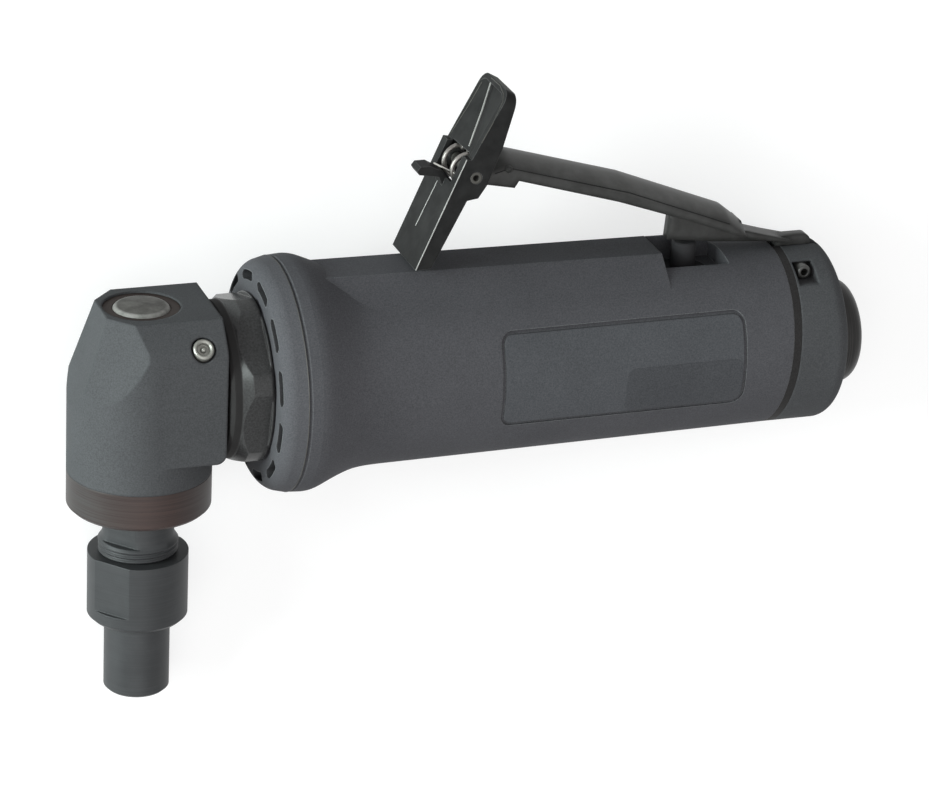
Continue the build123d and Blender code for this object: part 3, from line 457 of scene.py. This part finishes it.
def slot_shade(shader):
    """Painted shade: 1 on the walls of the front ring's slots, 0 on its outside."""
    radius = shader.from_axis("X")
    outside = shader.ranged(radius, RING_FACE_R * MM, RING_SHOULDER_R * MM,
                            RING_FRONT * MM, RING_SHOULDER * MM)
    depth = shader.math("SUBTRACT", shader.along(GRIP_WAY), outside)
    near_slots = shader.between(radius, SLOT_OUTER_R + 2 * SLOT_MARGIN, SLOT_OUTER_R + SLOT_MARGIN)
    return shader.math("MULTIPLY", shader.between(depth, SHADE_START, SHADE_FULL), near_slots)


def pocket_shade(shader):
    """Painted shade: 1 in the pin pockets and the lever's slot of the backhead, 0 on its outside."""
    deep = shader.between(shader.from_axis("X"), POCKET_MOUTH_R, POCKET_DARK_R)
    front = shader.between(shader.along(GRIP_WAY), POCKET_REAR + POCKET_FADE, POCKET_REAR)
    return shader.math("MULTIPLY", deep, front)


# Materials
def grained(name, dark, light, roughness, round_edges, grain=FINE_GRAIN, gloss=0.5, edge_highlight=None,
            shade_mask=None):
    """Paint or plastic with a fine speckle and a slow mottle.

    Edges get a painted highlight where edge_highlight is a colour, and painted shade lies where
    shade_mask, a function of the shader, gives 1.
    """
    shader = Shader(name, roughness, gloss=gloss)
    speckle = shader.noise(EVEN, *grain)
    mottle = shader.noise(EVEN, *PAINT_MOTTLE)
    tint = shader.dimmed(shader.shades(speckle, dark, light, low=0.32, high=0.68), mottle, 0.9)
    if edge_highlight:
        # Painted highlight: paler colour along the sharp edges
        pale = shader.shades(speckle, light, edge_highlight, high=0.6)
        tint = shader.mixed(shader.edges(width=0.25), tint, pale)
    if shade_mask:
        # Painted shade in the hollows
        painted_shade = shader.shades(speckle, SHADE_DARK, SHADE_LIGHT)
        tint = shader.mixed(shade_mask(shader), tint, painted_shade)
    shader.colour(tint)
    shader.roughen(speckle, roughness, GRAIN_SPREAD)
    shader.bump(speckle, strength=0.15, depth=0.03, round_edges=round_edges)
    return shader.material


def turned(name, dark, light, roughness, metallic, stretch=EVEN, edge_tone=None, gloss=0.5):
    """Metal with lathe lines around an axis, or an even grain, and edges scuffed lighter to an edge
    tone.
    """
    shader = Shader(name, roughness, metallic, gloss)
    lines = shader.noise(stretch, *LATHE_LINES)
    mottle = shader.noise(EVEN, *STEEL_MOTTLE)
    tint = shader.dimmed(shader.shades(lines, dark, light), mottle, 0.8)
    if edge_tone:
        lightened = shader.shades(mottle, dark, edge_tone, low=0.35, high=0.6)
        tint = shader.mixed(shader.edges(width=0.5), tint, lightened)
    shader.colour(tint)
    shader.roughen(lines, roughness, TURNED_SPREAD)
    shader.bump(lines, strength=0.1, depth=0.02, round_edges=0.3)
    return shader.material


def dusty(shader, dust, dark, light):
    """The tint of an enamel with dust on it."""
    return shader.shades(dust, dark, light, low=0.35, high=0.75)


def peeled(shader, dust, roughness, round_edges):
    """The finish of an enamel: uneven with the dust, and a faint orange peel."""
    shader.roughen(dust, roughness, ENAMEL_SPREAD)
    peel = shader.noise(EVEN, *PEEL)
    shader.bump(peel, strength=0.08, depth=0.03, round_edges=round_edges)


def enamel(name, dark, light, edge_tone, roughness, gloss):
    """Smooth dark enamel whose lighter edges are a painted highlight."""
    shader = Shader(name, roughness, gloss=gloss)
    dust = shader.noise(EVEN, *DUST)
    # Painted highlight: the sharp edges turn lighter
    lightened = shader.shades(dust, light, edge_tone, high=0.6)
    shader.colour(shader.mixed(shader.edges(width=0.22), dusty(shader, dust, dark, light), lightened))
    peeled(shader, dust, roughness, round_edges=0.35)
    return shader.material


def crown_highlit(name, dark, light, crown_dark, crown_light, roughness, gloss):
    """Dark enamel painted lighter on the throttle lever's crown: a painted highlight where light
    falls on its top.
    """
    shader = Shader(name, roughness, gloss=gloss)
    dust = shader.noise(EVEN, *DUST)
    plain = dusty(shader, dust, dark, light)
    crown = dusty(shader, dust, crown_dark, crown_light)
    # Painted highlight: the crown's lighter paint
    above = shader.between(shader.along(CROWN_WAY), CROWN_SIDE, CROWN_TOP)
    shader.colour(shader.mixed(above, plain, crown))
    peeled(shader, dust, roughness, round_edges=2.0)
    return shader.material


def oxide(name, dark, light, grey, roughness):
    """Brown oxide brushed around the spindle axis, greyer towards the sides along the grip: a
    painted sheen.
    """
    shader = Shader(name, roughness, metallic=0.1, gloss=0.25)
    lines = shader.noise(ROUND_Z, *LATHE_LINES)
    brown = shader.shades(lines, dark, light)
    pale = shader.shades(lines, dark, grey, high=0.6)
    # Painted sheen: greyer towards the cap's sides along the grip
    side = shader.between(shader.along(GRIP_WAY), -CAP_SIDE, CAP_SIDE)
    brownness = shader.ramp(side, (0.0, BLACK), (0.4, WHITE), (0.62, WHITE), (1.0, BLACK))
    shader.colour(shader.mixed(brownness, pale, brown))
    shader.roughen(lines, roughness, OXIDE_SPREAD)
    shader.bump(lines, strength=0.15, depth=0.02, round_edges=0.3)
    return shader.material


def nut_enamel(name, collar, dark, light, edge_tone, roughness, collar_roughness, flat_roughness):
    """Black oxide: a dull collar at the front, painted darker as painted shade from the head, and
    glossier flats and chamfers behind it.
    """
    shader = Shader(name, roughness, gloss=0.13)
    dust = shader.noise(EVEN, *DUST)
    grain = shader.noise(EVEN, *MEDIUM_GRAIN)
    behind = shader.between(shader.along(GRIP_WAY), HEX_CHAMFER - HEX_BLEND, HEX_CHAMFER + HEX_BLEND)
    # Painted shade: the collar is darker where the head shades it
    front = shader.shades(dust, collar, dark, high=0.9)
    face = shader.shades(grain, dark, light)
    lightened = shader.shades(dust, light, edge_tone, high=0.6)
    rear = shader.mixed(shader.edges(width=0.2), face, lightened)
    shader.colour(shader.mixed(behind, front, rear))
    shader.feed("Roughness", shader.scaled(behind, collar_roughness, flat_roughness))
    shader.bump(grain, strength=0.08, depth=0.02, round_edges=0.3)
    return shader.material


def capped(name, dark, light, grey, pale):
    """Dull faced steel whose round shoulder is painted bright, a painted highlight, for the head's
    plug.
    """
    shader = Shader(name, roughness=0.42, metallic=0.1, gloss=0.05)
    mottle = shader.noise(EVEN, *PLUG_MOTTLE)
    top = shader.shades(mottle, dark, light)
    shoulder = shader.shades(mottle, grey, pale)
    # Painted highlight: the round shoulder is brighter
    lightened = shader.between(shader.from_axis("Z"), PLUG_FLAT_R, PLUG_FLAT_R + PLUG_SHOULDER / 2)
    shader.colour(shader.mixed(lightened, top, shoulder))
    shader.bump(mottle, strength=0.15, depth=0.03, round_edges=0.3)
    return shader.material


def felted(name, dark, light):
    """Rough felt with its fibres drawn out one way."""
    shader = Shader(name, roughness=0.95)
    fibres = shader.noise(FIBRE_WAY, *FIBRES)
    shader.colour(shader.shades(fibres, dark, light))
    shader.bump(fibres, strength=0.6, depth=0.15, round_edges=0.1)
    return shader.material


def seen_directly(tree):
    """1 for what the camera sees itself, in a gloss or through glass, 0 for light that bounces."""
    path = tree.nodes.new("ShaderNodeLightPath")
    seen = path.outputs["Is Camera Ray"]
    for ray in ("Is Glossy Ray", "Is Transmission Ray"):
        either = tree.nodes.new("ShaderNodeMath")
        either.operation = "MAXIMUM"
        tree.links.new(seen, either.inputs[0])
        tree.links.new(path.outputs[ray], either.inputs[1])
        seen = either.outputs["Value"]
    return seen


def floor_paint(name, dark, light, glow):
    """Pale paint that shows nearly white to the camera and in reflections, and keeps the shadow."""
    shader = Shader(name, roughness=0.9)
    cloud = shader.noise(EVEN, *CLOUD)
    shader.colour(shader.shades(cloud, dark, light))
    shader.feed("Emission Strength", shader.scaled(seen_directly(shader.tree), 0.0, glow))
    return shader.material


HEAD_DARK = (0.060, 0.062, 0.065)
HEAD_LIGHT = (0.082, 0.085, 0.089)
GRIP_DARK = (0.066, 0.066, 0.072)
GRIP_LIGHT = (0.092, 0.093, 0.100)
# Painted highlight on the edges of the grip and the ring
GRIP_EDGE_HIGHLIGHT = (0.16, 0.165, 0.17)

HEAD_PAINT = grained("head_paint", HEAD_DARK, HEAD_LIGHT, roughness=0.6, round_edges=0.7, gloss=0.02)
# The backhead's pockets and the front ring's slots get painted shade
REAR_PAINT = grained("rear_paint", HEAD_DARK, HEAD_LIGHT, roughness=0.6, round_edges=0.7, gloss=0.02,
                     shade_mask=pocket_shade)
GRIP_PLASTIC = grained("grip_plastic", GRIP_DARK, GRIP_LIGHT, roughness=0.6, round_edges=0.3,
                       gloss=0.02, edge_highlight=GRIP_EDGE_HIGHLIGHT)
RING_PLASTIC = grained("ring_plastic", GRIP_DARK, GRIP_LIGHT, roughness=0.6, round_edges=0.3,
                       gloss=0.02, edge_highlight=GRIP_EDGE_HIGHLIGHT, shade_mask=slot_shade)
LABEL_FILM = grained("label_film", (0.062, 0.065, 0.071), (0.090, 0.094, 0.101),
                     roughness=0.5, round_edges=0.1, gloss=0.05)
FIELD_FILM = grained("field_film", (0.052, 0.054, 0.059), (0.076, 0.079, 0.085),
                     roughness=0.5, round_edges=0.1, gloss=0.05)
RUBBER = grained("rubber", (0.014, 0.013, 0.013), (0.024, 0.023, 0.023),
                 roughness=0.7, round_edges=0.1, grain=MEDIUM_GRAIN, gloss=0.15)
VANE = grained("vane", (0.10, 0.066, 0.032), (0.19, 0.13, 0.07),
               roughness=0.6, round_edges=0.1, grain=COARSE_GRAIN)
# Throttle lever: the lighter paint on its crown is a painted highlight
LEVER_PAINT = crown_highlit("lever_paint", (0.025, 0.025, 0.024), (0.046, 0.046, 0.045),
                     (0.048, 0.048, 0.046), (0.082, 0.082, 0.080), roughness=0.40, gloss=0.22)
# Lock lever: its lighter edges are a painted highlight
LOCK_PAINT = enamel("lock_paint", (0.017, 0.017, 0.017), (0.029, 0.029, 0.029), (0.09, 0.09, 0.09),
                    roughness=0.40, gloss=0.02)
# Painted highlight for the lock lever's bright lines, painted shade for the throttle lever's crown
# line
HIGHLIGHT_WIRE = enamel("highlight_wire", (0.20, 0.20, 0.19), (0.36, 0.36, 0.34), (0.45, 0.45, 0.45),
                    roughness=0.30, gloss=0.5)
CREASE_SHADE = enamel("crease_shade", (0.010, 0.010, 0.010), (0.018, 0.018, 0.018),
                      (0.02, 0.02, 0.02), roughness=0.5, gloss=0.1)
NUT_BLACK = nut_enamel("nut_black", (0.020, 0.019, 0.019), (0.027, 0.027, 0.027),
                       (0.046, 0.046, 0.047), (0.07, 0.07, 0.07),
                       roughness=0.3, collar_roughness=0.8, flat_roughness=0.24)
OXIDE_STEEL = oxide("oxide_steel", (0.027, 0.018, 0.017), (0.050, 0.032, 0.028),
                    (0.042, 0.040, 0.039), roughness=0.45)
DOME_STEEL = capped("dome_steel", (0.050, 0.048, 0.044), (0.115, 0.112, 0.104),
                    (0.15, 0.15, 0.14), (0.32, 0.315, 0.30))
BLACK_STEEL = turned("black_steel", (0.032, 0.034, 0.036), (0.044, 0.046, 0.048),
                     roughness=0.5, metallic=0.2, stretch=ROUND_Z, gloss=0.3)
DARK_STEEL = turned("dark_steel", (0.028, 0.028, 0.030), (0.046, 0.046, 0.048),
                    roughness=0.6, metallic=0.0, gloss=0.05)
INLET_STEEL = turned("inlet_steel", (0.014, 0.014, 0.014), (0.042, 0.040, 0.039),
                     roughness=0.38, metallic=0.2, stretch=ROUND_X, edge_tone=(0.14, 0.085, 0.05),
                     gloss=0.2)
RING_STEEL = turned("ring_steel", (0.028, 0.022, 0.020), (0.052, 0.041, 0.037),
                    roughness=0.5, metallic=0.1, gloss=0.04)
DULL_STEEL = turned("dull_steel", (0.050, 0.048, 0.044), (0.12, 0.117, 0.108),
                    roughness=0.45, metallic=0.1, gloss=0.05)
PIN_STEEL = turned("pin_steel", (0.020, 0.020, 0.019), (0.040, 0.039, 0.037),
                   roughness=0.30, metallic=0.0)
COIL_STEEL = turned("coil_steel", (0.16, 0.15, 0.14), (0.30, 0.285, 0.27),
                    roughness=0.36, metallic=0.8)
FITTING_STEEL = turned("fitting_steel", (0.16, 0.16, 0.145), (0.30, 0.30, 0.275),
                       roughness=0.36, metallic=0.6)
BRIGHT_STEEL = turned("bright_steel", (0.42, 0.41, 0.38), (0.72, 0.71, 0.67),
                      roughness=0.26, metallic=1.0)
GEAR_STEEL = turned("gear_steel", (0.28, 0.28, 0.28), (0.45, 0.45, 0.45),
                    roughness=0.35, metallic=1.0)
GREY_IRON = turned("grey_iron", (0.13, 0.13, 0.13), (0.26, 0.26, 0.26),
                   roughness=0.5, metallic=0.8, stretch=ROUND_X)
BRASS = turned("brass", (0.40, 0.28, 0.10), (0.62, 0.46, 0.19), roughness=0.35, metallic=1.0)
FELT = felted("felt", (0.08, 0.088, 0.085), (0.15, 0.165, 0.16))
FLOOR_PAINT = floor_paint("floor_paint", (0.39, 0.39, 0.39), (0.41, 0.41, 0.41), FLOOR_GLOW)

NODE_MATERIALS = {
    HEAD_PAINT: ("angle_head",),
    REAR_PAINT: ("backhead",),
    GRIP_PLASTIC: ("grip_housing",),
    RING_PLASTIC: ("exhaust_deflector",),
    LEVER_PAINT: ("throttle_lever",),
    LOCK_PAINT: ("lock_lever",),
    NUT_BLACK: ("coupling_nut",),
    BLACK_STEEL: ("spindle", "collet_nut"),
    DARK_STEEL: ("throttle_plunger", "valve_bushing"),
    PIN_STEEL: ("lever_pin",),
    INLET_STEEL: ("inlet_bushing",),
    OXIDE_STEEL: ("bearing_cap",),
    RING_STEEL: ("plug_ring",),
    DOME_STEEL: ("head_plug",),
    DULL_STEEL: ("lock_pin",),
    FITTING_STEEL: ("grease_fitting",),
    BRIGHT_STEEL: (
        "upper_spindle_bearing", "lower_spindle_bearing", "pinion_bearing", "collet",
        "front_hub", "front_rotor_bearing", "cylinder_dowel", "rear_rotor_bearing",
        "valve_spring", "lock_spring"),
    GEAR_STEEL: ("bevel_gear", "bevel_pinion", "rotor"),
    GREY_IRON: ("front_end_plate", "motor_cylinder", "rear_end_plate"),
    BRASS: ("inlet_screen",),
    RUBBER: ("gasket",),
    VANE: ("rotor_vanes",),
    FELT: ("silencer_felt",),
}


def dress_nodes():
    """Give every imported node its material."""
    for material, names in NODE_MATERIALS.items():
        for name in names:
            mesh = frame["nodes"][name].data
            mesh.materials.clear()
            mesh.materials.append(material)


# Pieces and their meshes
def add_object(name, data):
    thing = bpy.data.objects.new(name, data)
    bpy.context.scene.collection.objects.link(thing)
    return thing


def add_piece(name, data, material, body):
    """A piece of the object, with its material, that moves with a body."""
    data.materials.append(material)
    piece = add_object(name, data)
    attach(piece, body)
    return piece


def add_mesh(name, points, faces, material, body):
    """A smooth-shaded piece from tool-frame points in millimetres."""
    mesh = bpy.data.meshes.new(name)
    mesh.from_pydata([placed(point) for point in points], [], faces)
    shell = bmesh.new()
    shell.from_mesh(mesh)
    bmesh.ops.recalc_face_normals(shell, faces=shell.faces)
    shell.to_mesh(mesh)
    shell.free()
    mesh.shade_smooth()
    mesh.set_sharp_from_angle(angle=math.radians(SHARP_ANGLE))
    return add_piece(name, mesh, material, body)


def rings_to_faces(rings, closed):
    """Quads from each ring to the next, then back to the first if closed, else two end caps."""
    count = ROUND_STEPS
    faces = []
    if not closed:
        faces.append(tuple(range(count)))
        faces.append(tuple(range((rings - 1) * count, rings * count)))
    for ring in range(rings if closed else rings - 1):
        start = ring * count
        following = (ring + 1) % rings * count
        for step in range(count):
            other = (step + 1) % count
            faces.append((start + step, start + other, following + other, following + step))
    return faces


def add_rings(name, rings, closed, material, body):
    """A piece skinned over rings of tool-frame points."""
    points = [point for ring in rings for point in ring]
    faces = rings_to_faces(len(rings), closed)
    return add_mesh(name, points, faces, material, body)


def circle_angles():
    return [2 * math.pi * step / ROUND_STEPS for step in range(ROUND_STEPS)]


def arc_stations(centre, radius, start, end, steps):
    """(along, radius) stations on an arc in the turning plane, angles in degrees."""
    stations = []
    for step in range(steps + 1):
        angle = math.radians(start + (end - start) * step / steps)
        along = centre[0] + radius * math.cos(angle)
        stations.append((along, centre[1] + radius * math.sin(angle)))
    return stations


# Profiles: a ring of (along, radius) pairs for each station along an axis
def round_rings(stations):
    """Rings that are the same all round."""
    return [[station] * ROUND_STEPS for station in stations]


def thread_depth(along, angle, pitch, depth):
    """Depth of a pointed thread below its crest."""
    phase = (along / pitch - angle / (2 * math.pi)) % 1.0
    return depth * abs(2 * phase - 1)


def thread_rings(start, end, pitch, crest, depth):
    """Rings of a thread, a few for each turn: depth is added to the crest's radius in its roots."""
    steps = math.ceil(abs(end - start) / pitch * TURN_STEPS)
    rings = []
    for step in range(steps + 1):
        along = start + (end - start) * step / steps
        rings.append([(along, crest + thread_depth(along, angle, pitch, depth))
                      for angle in circle_angles()])
    return rings


# Spindle with its spanner flats and its threads
def neck_radius(angle, radius):
    """The neck's radius, cut back on its two flats."""
    toward_flat = abs(math.cos(angle - math.radians(FLATS_FACING)))
    if radius * toward_flat <= NECK_FLAT:
        return radius
    return NECK_FLAT / toward_flat


def spindle_profile():
    """From the top down to the end of the thread, then up inside to the bore's end."""
    shaft = [(SPINDLE_TOP, JOURNAL_R), (SEAT_TOP, JOURNAL_R), (SEAT_TOP, SEAT_R),
             (NECK_TOP, SEAT_R), (NECK_TOP, NECK_R), (FLATS_TOP, NECK_R)]
    neck = [(FLATS_TOP, NECK_R), (FLARE_TOP, NECK_R), (NECK_BOTTOM, NECK_BOTTOM_R)]
    flare = [(NECK_BOTTOM, NECK_BOTTOM_R), (COLLAR_TOP, COLLAR_R)]
    inside = [(THREAD_BOTTOM, SOCKET_MOUTH_R), (SOCKET_FLOOR, SOCKET_FLOOR_R),
              (SOCKET_FLOOR, BORE_R), (BORE_TOP, BORE_R)]
    profile = round_rings(shaft)
    for z, radius in neck:
        profile.append([(z, neck_radius(angle, radius)) for angle in circle_angles()])
    profile += round_rings(flare)
    profile += thread_rings(COLLAR_TOP, COLLAR_BOTTOM, COLLAR_PITCH, COLLAR_R, -COLLAR_DEPTH)
    profile += thread_rings(COLLAR_BOTTOM, THREAD_BOTTOM, THREAD_PITCH, THREAD_R, -THREAD_DEPTH)
    profile += round_rings(inside)
    return profile


def make_spindle():
    rings = [[(radius * math.cos(angle), radius * math.sin(angle), z)
              for (z, radius), angle in zip(ring, circle_angles())]
             for ring in spindle_profile()]
    piece = add_rings("threaded_spindle", rings, False, BLACK_STEEL, "output_spindle")
    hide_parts("spindle")


# Air inlet with its pipe thread
def inlet_profile():
    """From the front out over the rounded rim, then forward along the thread inside."""
    rim = (INLET_REAR - INLET_EDGE, INLET_R - INLET_EDGE)
    outside = [(INLET_FRONT, INLET_BORE_R), (INLET_FRONT, INLET_SHANK_R),
               (INLET_JOINT, INLET_SHANK_R), (INLET_JOINT, INLET_R)]
    outside += arc_stations(rim, INLET_EDGE, 90, 0, EDGE_STEPS)
    thread = thread_rings(INLET_REAR, INLET_FRONT, PIPE_PITCH, INLET_BORE_R - PIPE_DEPTH, PIPE_DEPTH)
    return round_rings(outside) + thread


def make_inlet():
    rings = [[(x, radius * math.cos(angle), radius * math.sin(angle) - INLET_DROP)
              for (x, radius), angle in zip(ring, circle_angles())]
             for ring in inlet_profile()]
    piece = add_rings("threaded_inlet", rings, True, INLET_STEEL, "housing")
    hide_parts("inlet_bushing")


# Small turned pieces
def make_turned(name, stations, centre, facing, closed, material, body):
    """A piece from (height, radius) stations, turned about the line from centre along facing."""
    facing = Vector(facing).normalized()
    across = facing.orthogonal().normalized()
    along = facing.cross(across)
    rings = []
    for height, radius in stations:
        middle = Vector(centre) + facing * height
        rings.append([middle + (across * math.cos(angle) + along * math.sin(angle)) * radius
                      for angle in circle_angles()])
    return add_rings(name, rings, closed, material, body)


def make_grease_fitting():
    """The fitting with a cup and a ball."""
    stations = [(-FITTING_DEPTH, FITTING_R), (0.0, FITTING_R),
                (FITTING_RISE, FITTING_R - FITTING_RISE),
                (FITTING_RISE, FITTING_CUP_R + FITTING_LIP),
                (0.0, FITTING_CUP_R), (-FITTING_CUP, FITTING_CUP_R),
                (-FITTING_CUP, FITTING_BALL_R)]
    stations += arc_stations((-FITTING_CUP / 2, 0.0), FITTING_BALL_R, 90, BALL_POLE, BALL_STEPS)
    piece = make_turned("ball_fitting", stations, FITTING_PLACE, FITTING_FACING, False,
                        FITTING_STEEL, "housing")
    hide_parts("grease_fitting")


def make_plug():
    """The head's plug, slightly domed, with a round shoulder."""
    shoulder = (PLUG_EDGE - PLUG_SHOULDER, PLUG_FLAT_R)
    stations = [(PLUG_BOTTOM, PLUG_R)]
    stations += arc_stations(shoulder, PLUG_SHOULDER, 90, 0, EDGE_STEPS)
    for step in range(1, DOME_STEPS):
        part = 1 - step / DOME_STEPS
        height = PLUG_CROWN - (PLUG_CROWN - PLUG_EDGE) * part * part
        stations.append((height, PLUG_FLAT_R * part))
    piece = make_turned("domed_plug", stations, (0, 0, 0), (0, 0, 1), False,
                        DOME_STEEL, "housing")
    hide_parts("head_plug")


def make_lever_pin():
    """The lever's rolled pin, out to near the mouths of its pockets."""
    pin = in_tool(JOINTS["lever_press"]["pos_m"])
    round_r = PIN_R - PIN_ROUND
    near = arc_stations((PIN_ROUND - PIN_END, round_r), PIN_ROUND, 180, 90, CORNER_STEPS)
    far = arc_stations((PIN_END - PIN_ROUND, round_r), PIN_ROUND, 90, 0, CORNER_STEPS)
    stations = [(-PIN_END, PIN_BORE_R)] + near + far + [(PIN_END, PIN_BORE_R)]
    piece = make_turned("rolled_pin", stations, (pin.x, 0, pin.z), (0, 1, 0), True,
                        PIN_STEEL, "housing")
    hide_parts("lever_pin")


def make_nub():
    """The small nub on the lever's near side."""
    stations = [(-NUB_RISE, NUB_R)]
    stations += arc_stations((0.0, NUB_R - NUB_RISE), NUB_RISE, 90, 0, CORNER_STEPS)
    make_turned("lever_nub", stations, NUB_PLACE, (0, -1, 0), False,
                LEVER_PAINT, "lever")


# Wires, and painted highlight and shade lines along the levers' pressed lines
def make_wire(name, runs, radius, material, body):
    """Round wire along runs of tool-frame points."""
    curve = bpy.data.curves.new(name, "CURVE")
    curve.dimensions = "3D"
    curve.bevel_depth = radius * MM
    curve.bevel_resolution = WIRE_FINENESS
    curve.use_fill_caps = True
    for points in runs:
        spline = curve.splines.new("POLY")
        spline.points.add(len(points) - 1)
        for knot, point in zip(spline.points, points):
            knot.co = (*placed(point), 1.0)
    return add_piece(name, curve, material, body)


def make_lines():
    """Painted highlights along the lock lever's pressed lines, and painted shade along the throttle
    lever's crown line.
    """
    make_wire("lock_highlights", (FOLD_LINE, CREASE_LINE), LINE_R, HIGHLIGHT_WIRE, "lock")
    make_wire("valley_highlight", (VALLEY_LINE,), VALLEY_R, HIGHLIGHT_WIRE, "lock")
    make_wire("panel_highlight", (PANEL_FAR, PANEL_NEAR), BORDER_R, DULL_STEEL, "lock")
    make_wire("crown_shade_line", (CROWN_LINE,), LINE_R, CREASE_SHADE, "lever")


def make_seam():
    """A painted highlight along the seam around the grip."""
    points = [(SEAM, y, z) for y, z in arc_stations((0, 0), SEAM_R, 0, 360, SEAM_STEPS)]
    make_wire("seam_highlight", (points,), SEAM_WIRE, DULL_STEEL, "housing")


# Lock spring: two coils of wire and a leg across the thumb tab's root
def coil_points(side, pin):
    """One coil around the pin, wound from its side towards the middle."""
    points = []
    for step in range(int(COIL_STEPS * COIL_TURNS) + 1):
        turn = step / COIL_STEPS
        angle = 2 * math.pi * turn
        x = pin.x + COIL_R * math.cos(angle)
        y = side + math.copysign(COIL_ADVANCE * WIRE_R * turn, -side)
        z = pin.z + COIL_R * math.sin(angle)
        points.append((x, y, z))
    return points


def make_lock_spring():
    pin = in_tool(JOINTS["lock_swing"]["pos_m"])
    coils = [coil_points(side, pin) for side in COIL_SIDES]
    leg = (LEG_START, LEG_END)
    piece = make_wire("lock_spring_coils", coils, WIRE_R, COIL_STEEL, "lever")
    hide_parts("lock_spring")
    make_wire("lock_spring_leg", (leg,), LEG_R, BRIGHT_STEEL, "lever")


# Bare label: a film inside the groove, and a second field on it
def grip_radius(x):
    """The grip's radius on its taper from the waist to its rear end."""
    return WAIST_R + (GRIP_END_R - WAIST_R) * (x - WAIST) / (GRIP_END - WAIST)


def rounded_outline(front, rear, bottom, top, corner):
    """(x, z) points of a rounded rectangle, counter-clockwise."""
    outline = []
    centres = ((rear - corner, top - corner, 0), (front + corner, top - corner, 90),
               (front + corner, bottom + corner, 180), (rear - corner, bottom + corner, 270))
    for x, z, start in centres:
        outline += arc_stations((x, z), corner, start, start + 90, CORNER_STEPS)
    return outline


def film_sheet(outline):
    """A flat sheet inside an outline of (x, z) points, cut into strips along the grip."""
    sheet = bmesh.new()
    sheet.faces.new([sheet.verts.new((x, 0, z)) for x, z in outline])
    low = min(z for _, z in outline)
    high = max(z for _, z in outline)
    for step in range(1, FILM_STRIPS):
        cut = low + (high - low) * step / FILM_STRIPS
        geometry = sheet.verts[:] + sheet.edges[:] + sheet.faces[:]
        bmesh.ops.bisect_plane(sheet, geom=geometry, plane_co=(0, 0, cut), plane_no=(0, 0, 1))
    bmesh.ops.triangulate(sheet, faces=sheet.faces)
    sheet.verts.index_update()
    return sheet


def on_grip(vertex, height):
    """A sheet's vertex wrapped on the grip's near side, a height above its surface."""
    x, _, z = vertex.co
    return (x, -math.sqrt((grip_radius(x) + height) ** 2 - z * z), z)


def make_film(name, outline, height, material):
    """A thin closed film wrapped on the grip, its back sunk just under the surface."""
    sheet = film_sheet(outline)
    points = [on_grip(vertex, height) for vertex in sheet.verts]
    points += [on_grip(vertex, -FILM) for vertex in sheet.verts]
    under = len(sheet.verts)
    faces = []
    for face in sheet.faces:
        front = [vertex.index for vertex in face.verts]
        faces.append(front)
        faces.append([index + under for index in reversed(front)])
    for edge in sheet.edges:
        if edge.is_boundary:
            start, end = [vertex.index for vertex in edge.verts]
            faces.append((start, end, end + under, start + under))
    sheet.free()
    add_mesh(name, points, faces, material, "housing")


def make_label():
    """The film covers the panel inside its groove, the field the panel's lower rear part."""
    front = LABEL_FRONT + LABEL_GROOVE
    rear = LABEL_REAR - LABEL_GROOVE
    bottom = LABEL_BOTTOM + LABEL_GROOVE
    top = LABEL_TOP - LABEL_GROOVE
    panel = rounded_outline(front, rear, bottom, top, LABEL_CORNER)
    field = rounded_outline(FIELD_FRONT, rear, bottom, FIELD_TOP, LABEL_CORNER)
    make_film("label_film", panel, FILM, LABEL_FILM)
    make_film("label_field", field, 2 * FILM, FIELD_FILM)


# Studio: pale floor, soft light and the photograph's camera
def make_floor():
    mesh = bpy.data.meshes.new("floor")
    corners = ((-1, -1), (1, -1), (1, 1), (-1, 1))
    points = [(x * FLOOR_REACH, y * FLOOR_REACH, cad_box[0].z) for x, y in corners]
    mesh.from_pydata(points, [], [(0, 1, 2, 3)])
    mesh.materials.append(FLOOR_PAINT)
    floor = add_object("floor", mesh)


def camera_axes():
    """Image right, image up and towards the camera, in the row frame."""
    turn = TOOL.to_3x3()
    toward = (turn @ (Vector(CAMERA_EYE) - Vector(CAMERA_AIM))).normalized()
    right = (turn @ Vector(CAMERA_UP)).cross(toward).normalized()
    return right, toward.cross(right), toward


def make_camera():
    data = bpy.data.cameras.new("camera")
    data.lens = LENS
    data.sensor_width = SENSOR
    camera = add_object("camera", data)
    turn = Matrix(camera_axes()).transposed().to_4x4()
    camera.matrix_world = Matrix.Translation(placed(CAMERA_EYE)) @ turn
    bpy.context.scene.camera = camera


def make_lamp(name, direction, size, watts, tint):
    """A soft square lamp that faces what the camera aims at."""
    right, up, toward = camera_axes()
    way = (right * direction[0] + up * direction[1] + toward * direction[2]).normalized()
    data = bpy.data.lights.new(name, "AREA")
    data.shape = "SQUARE"
    data.size = size
    data.energy = watts
    data.color = tint
    lamp = add_object(name, data)
    lamp.location = placed(CAMERA_AIM) + way * LAMP_DISTANCE
    lamp.rotation_mode = "QUATERNION"
    lamp.rotation_quaternion = way.to_track_quat("Z", "Y")


def make_world():
    """A dim white surround that shows white itself."""
    world = bpy.data.worlds.new("studio")
    world.use_nodes = True
    tree = world.node_tree
    background = tree.nodes["Background"]
    background.inputs["Color"].default_value = (*WHITE, 1.0)
    level = tree.nodes.new("ShaderNodeMapRange")
    level.inputs["To Min"].default_value = WORLD_STRENGTH
    level.inputs["To Max"].default_value = 1.0
    tree.links.new(seen_directly(tree), level.inputs["Value"])
    tree.links.new(level.outputs["Result"], background.inputs["Strength"])
    bpy.context.scene.world = world


dress_nodes()
make_spindle()
make_inlet()
make_grease_fitting()
make_plug()
make_lever_pin()
make_nub()
make_lock_spring()
make_lines()
make_seam()
make_label()
make_floor()
make_camera()
make_world()
for lamp_name, lamp_values in LAMPS.items():
    make_lamp(lamp_name, **lamp_values)
bpy.context.scene.view_settings.view_transform = "Standard"
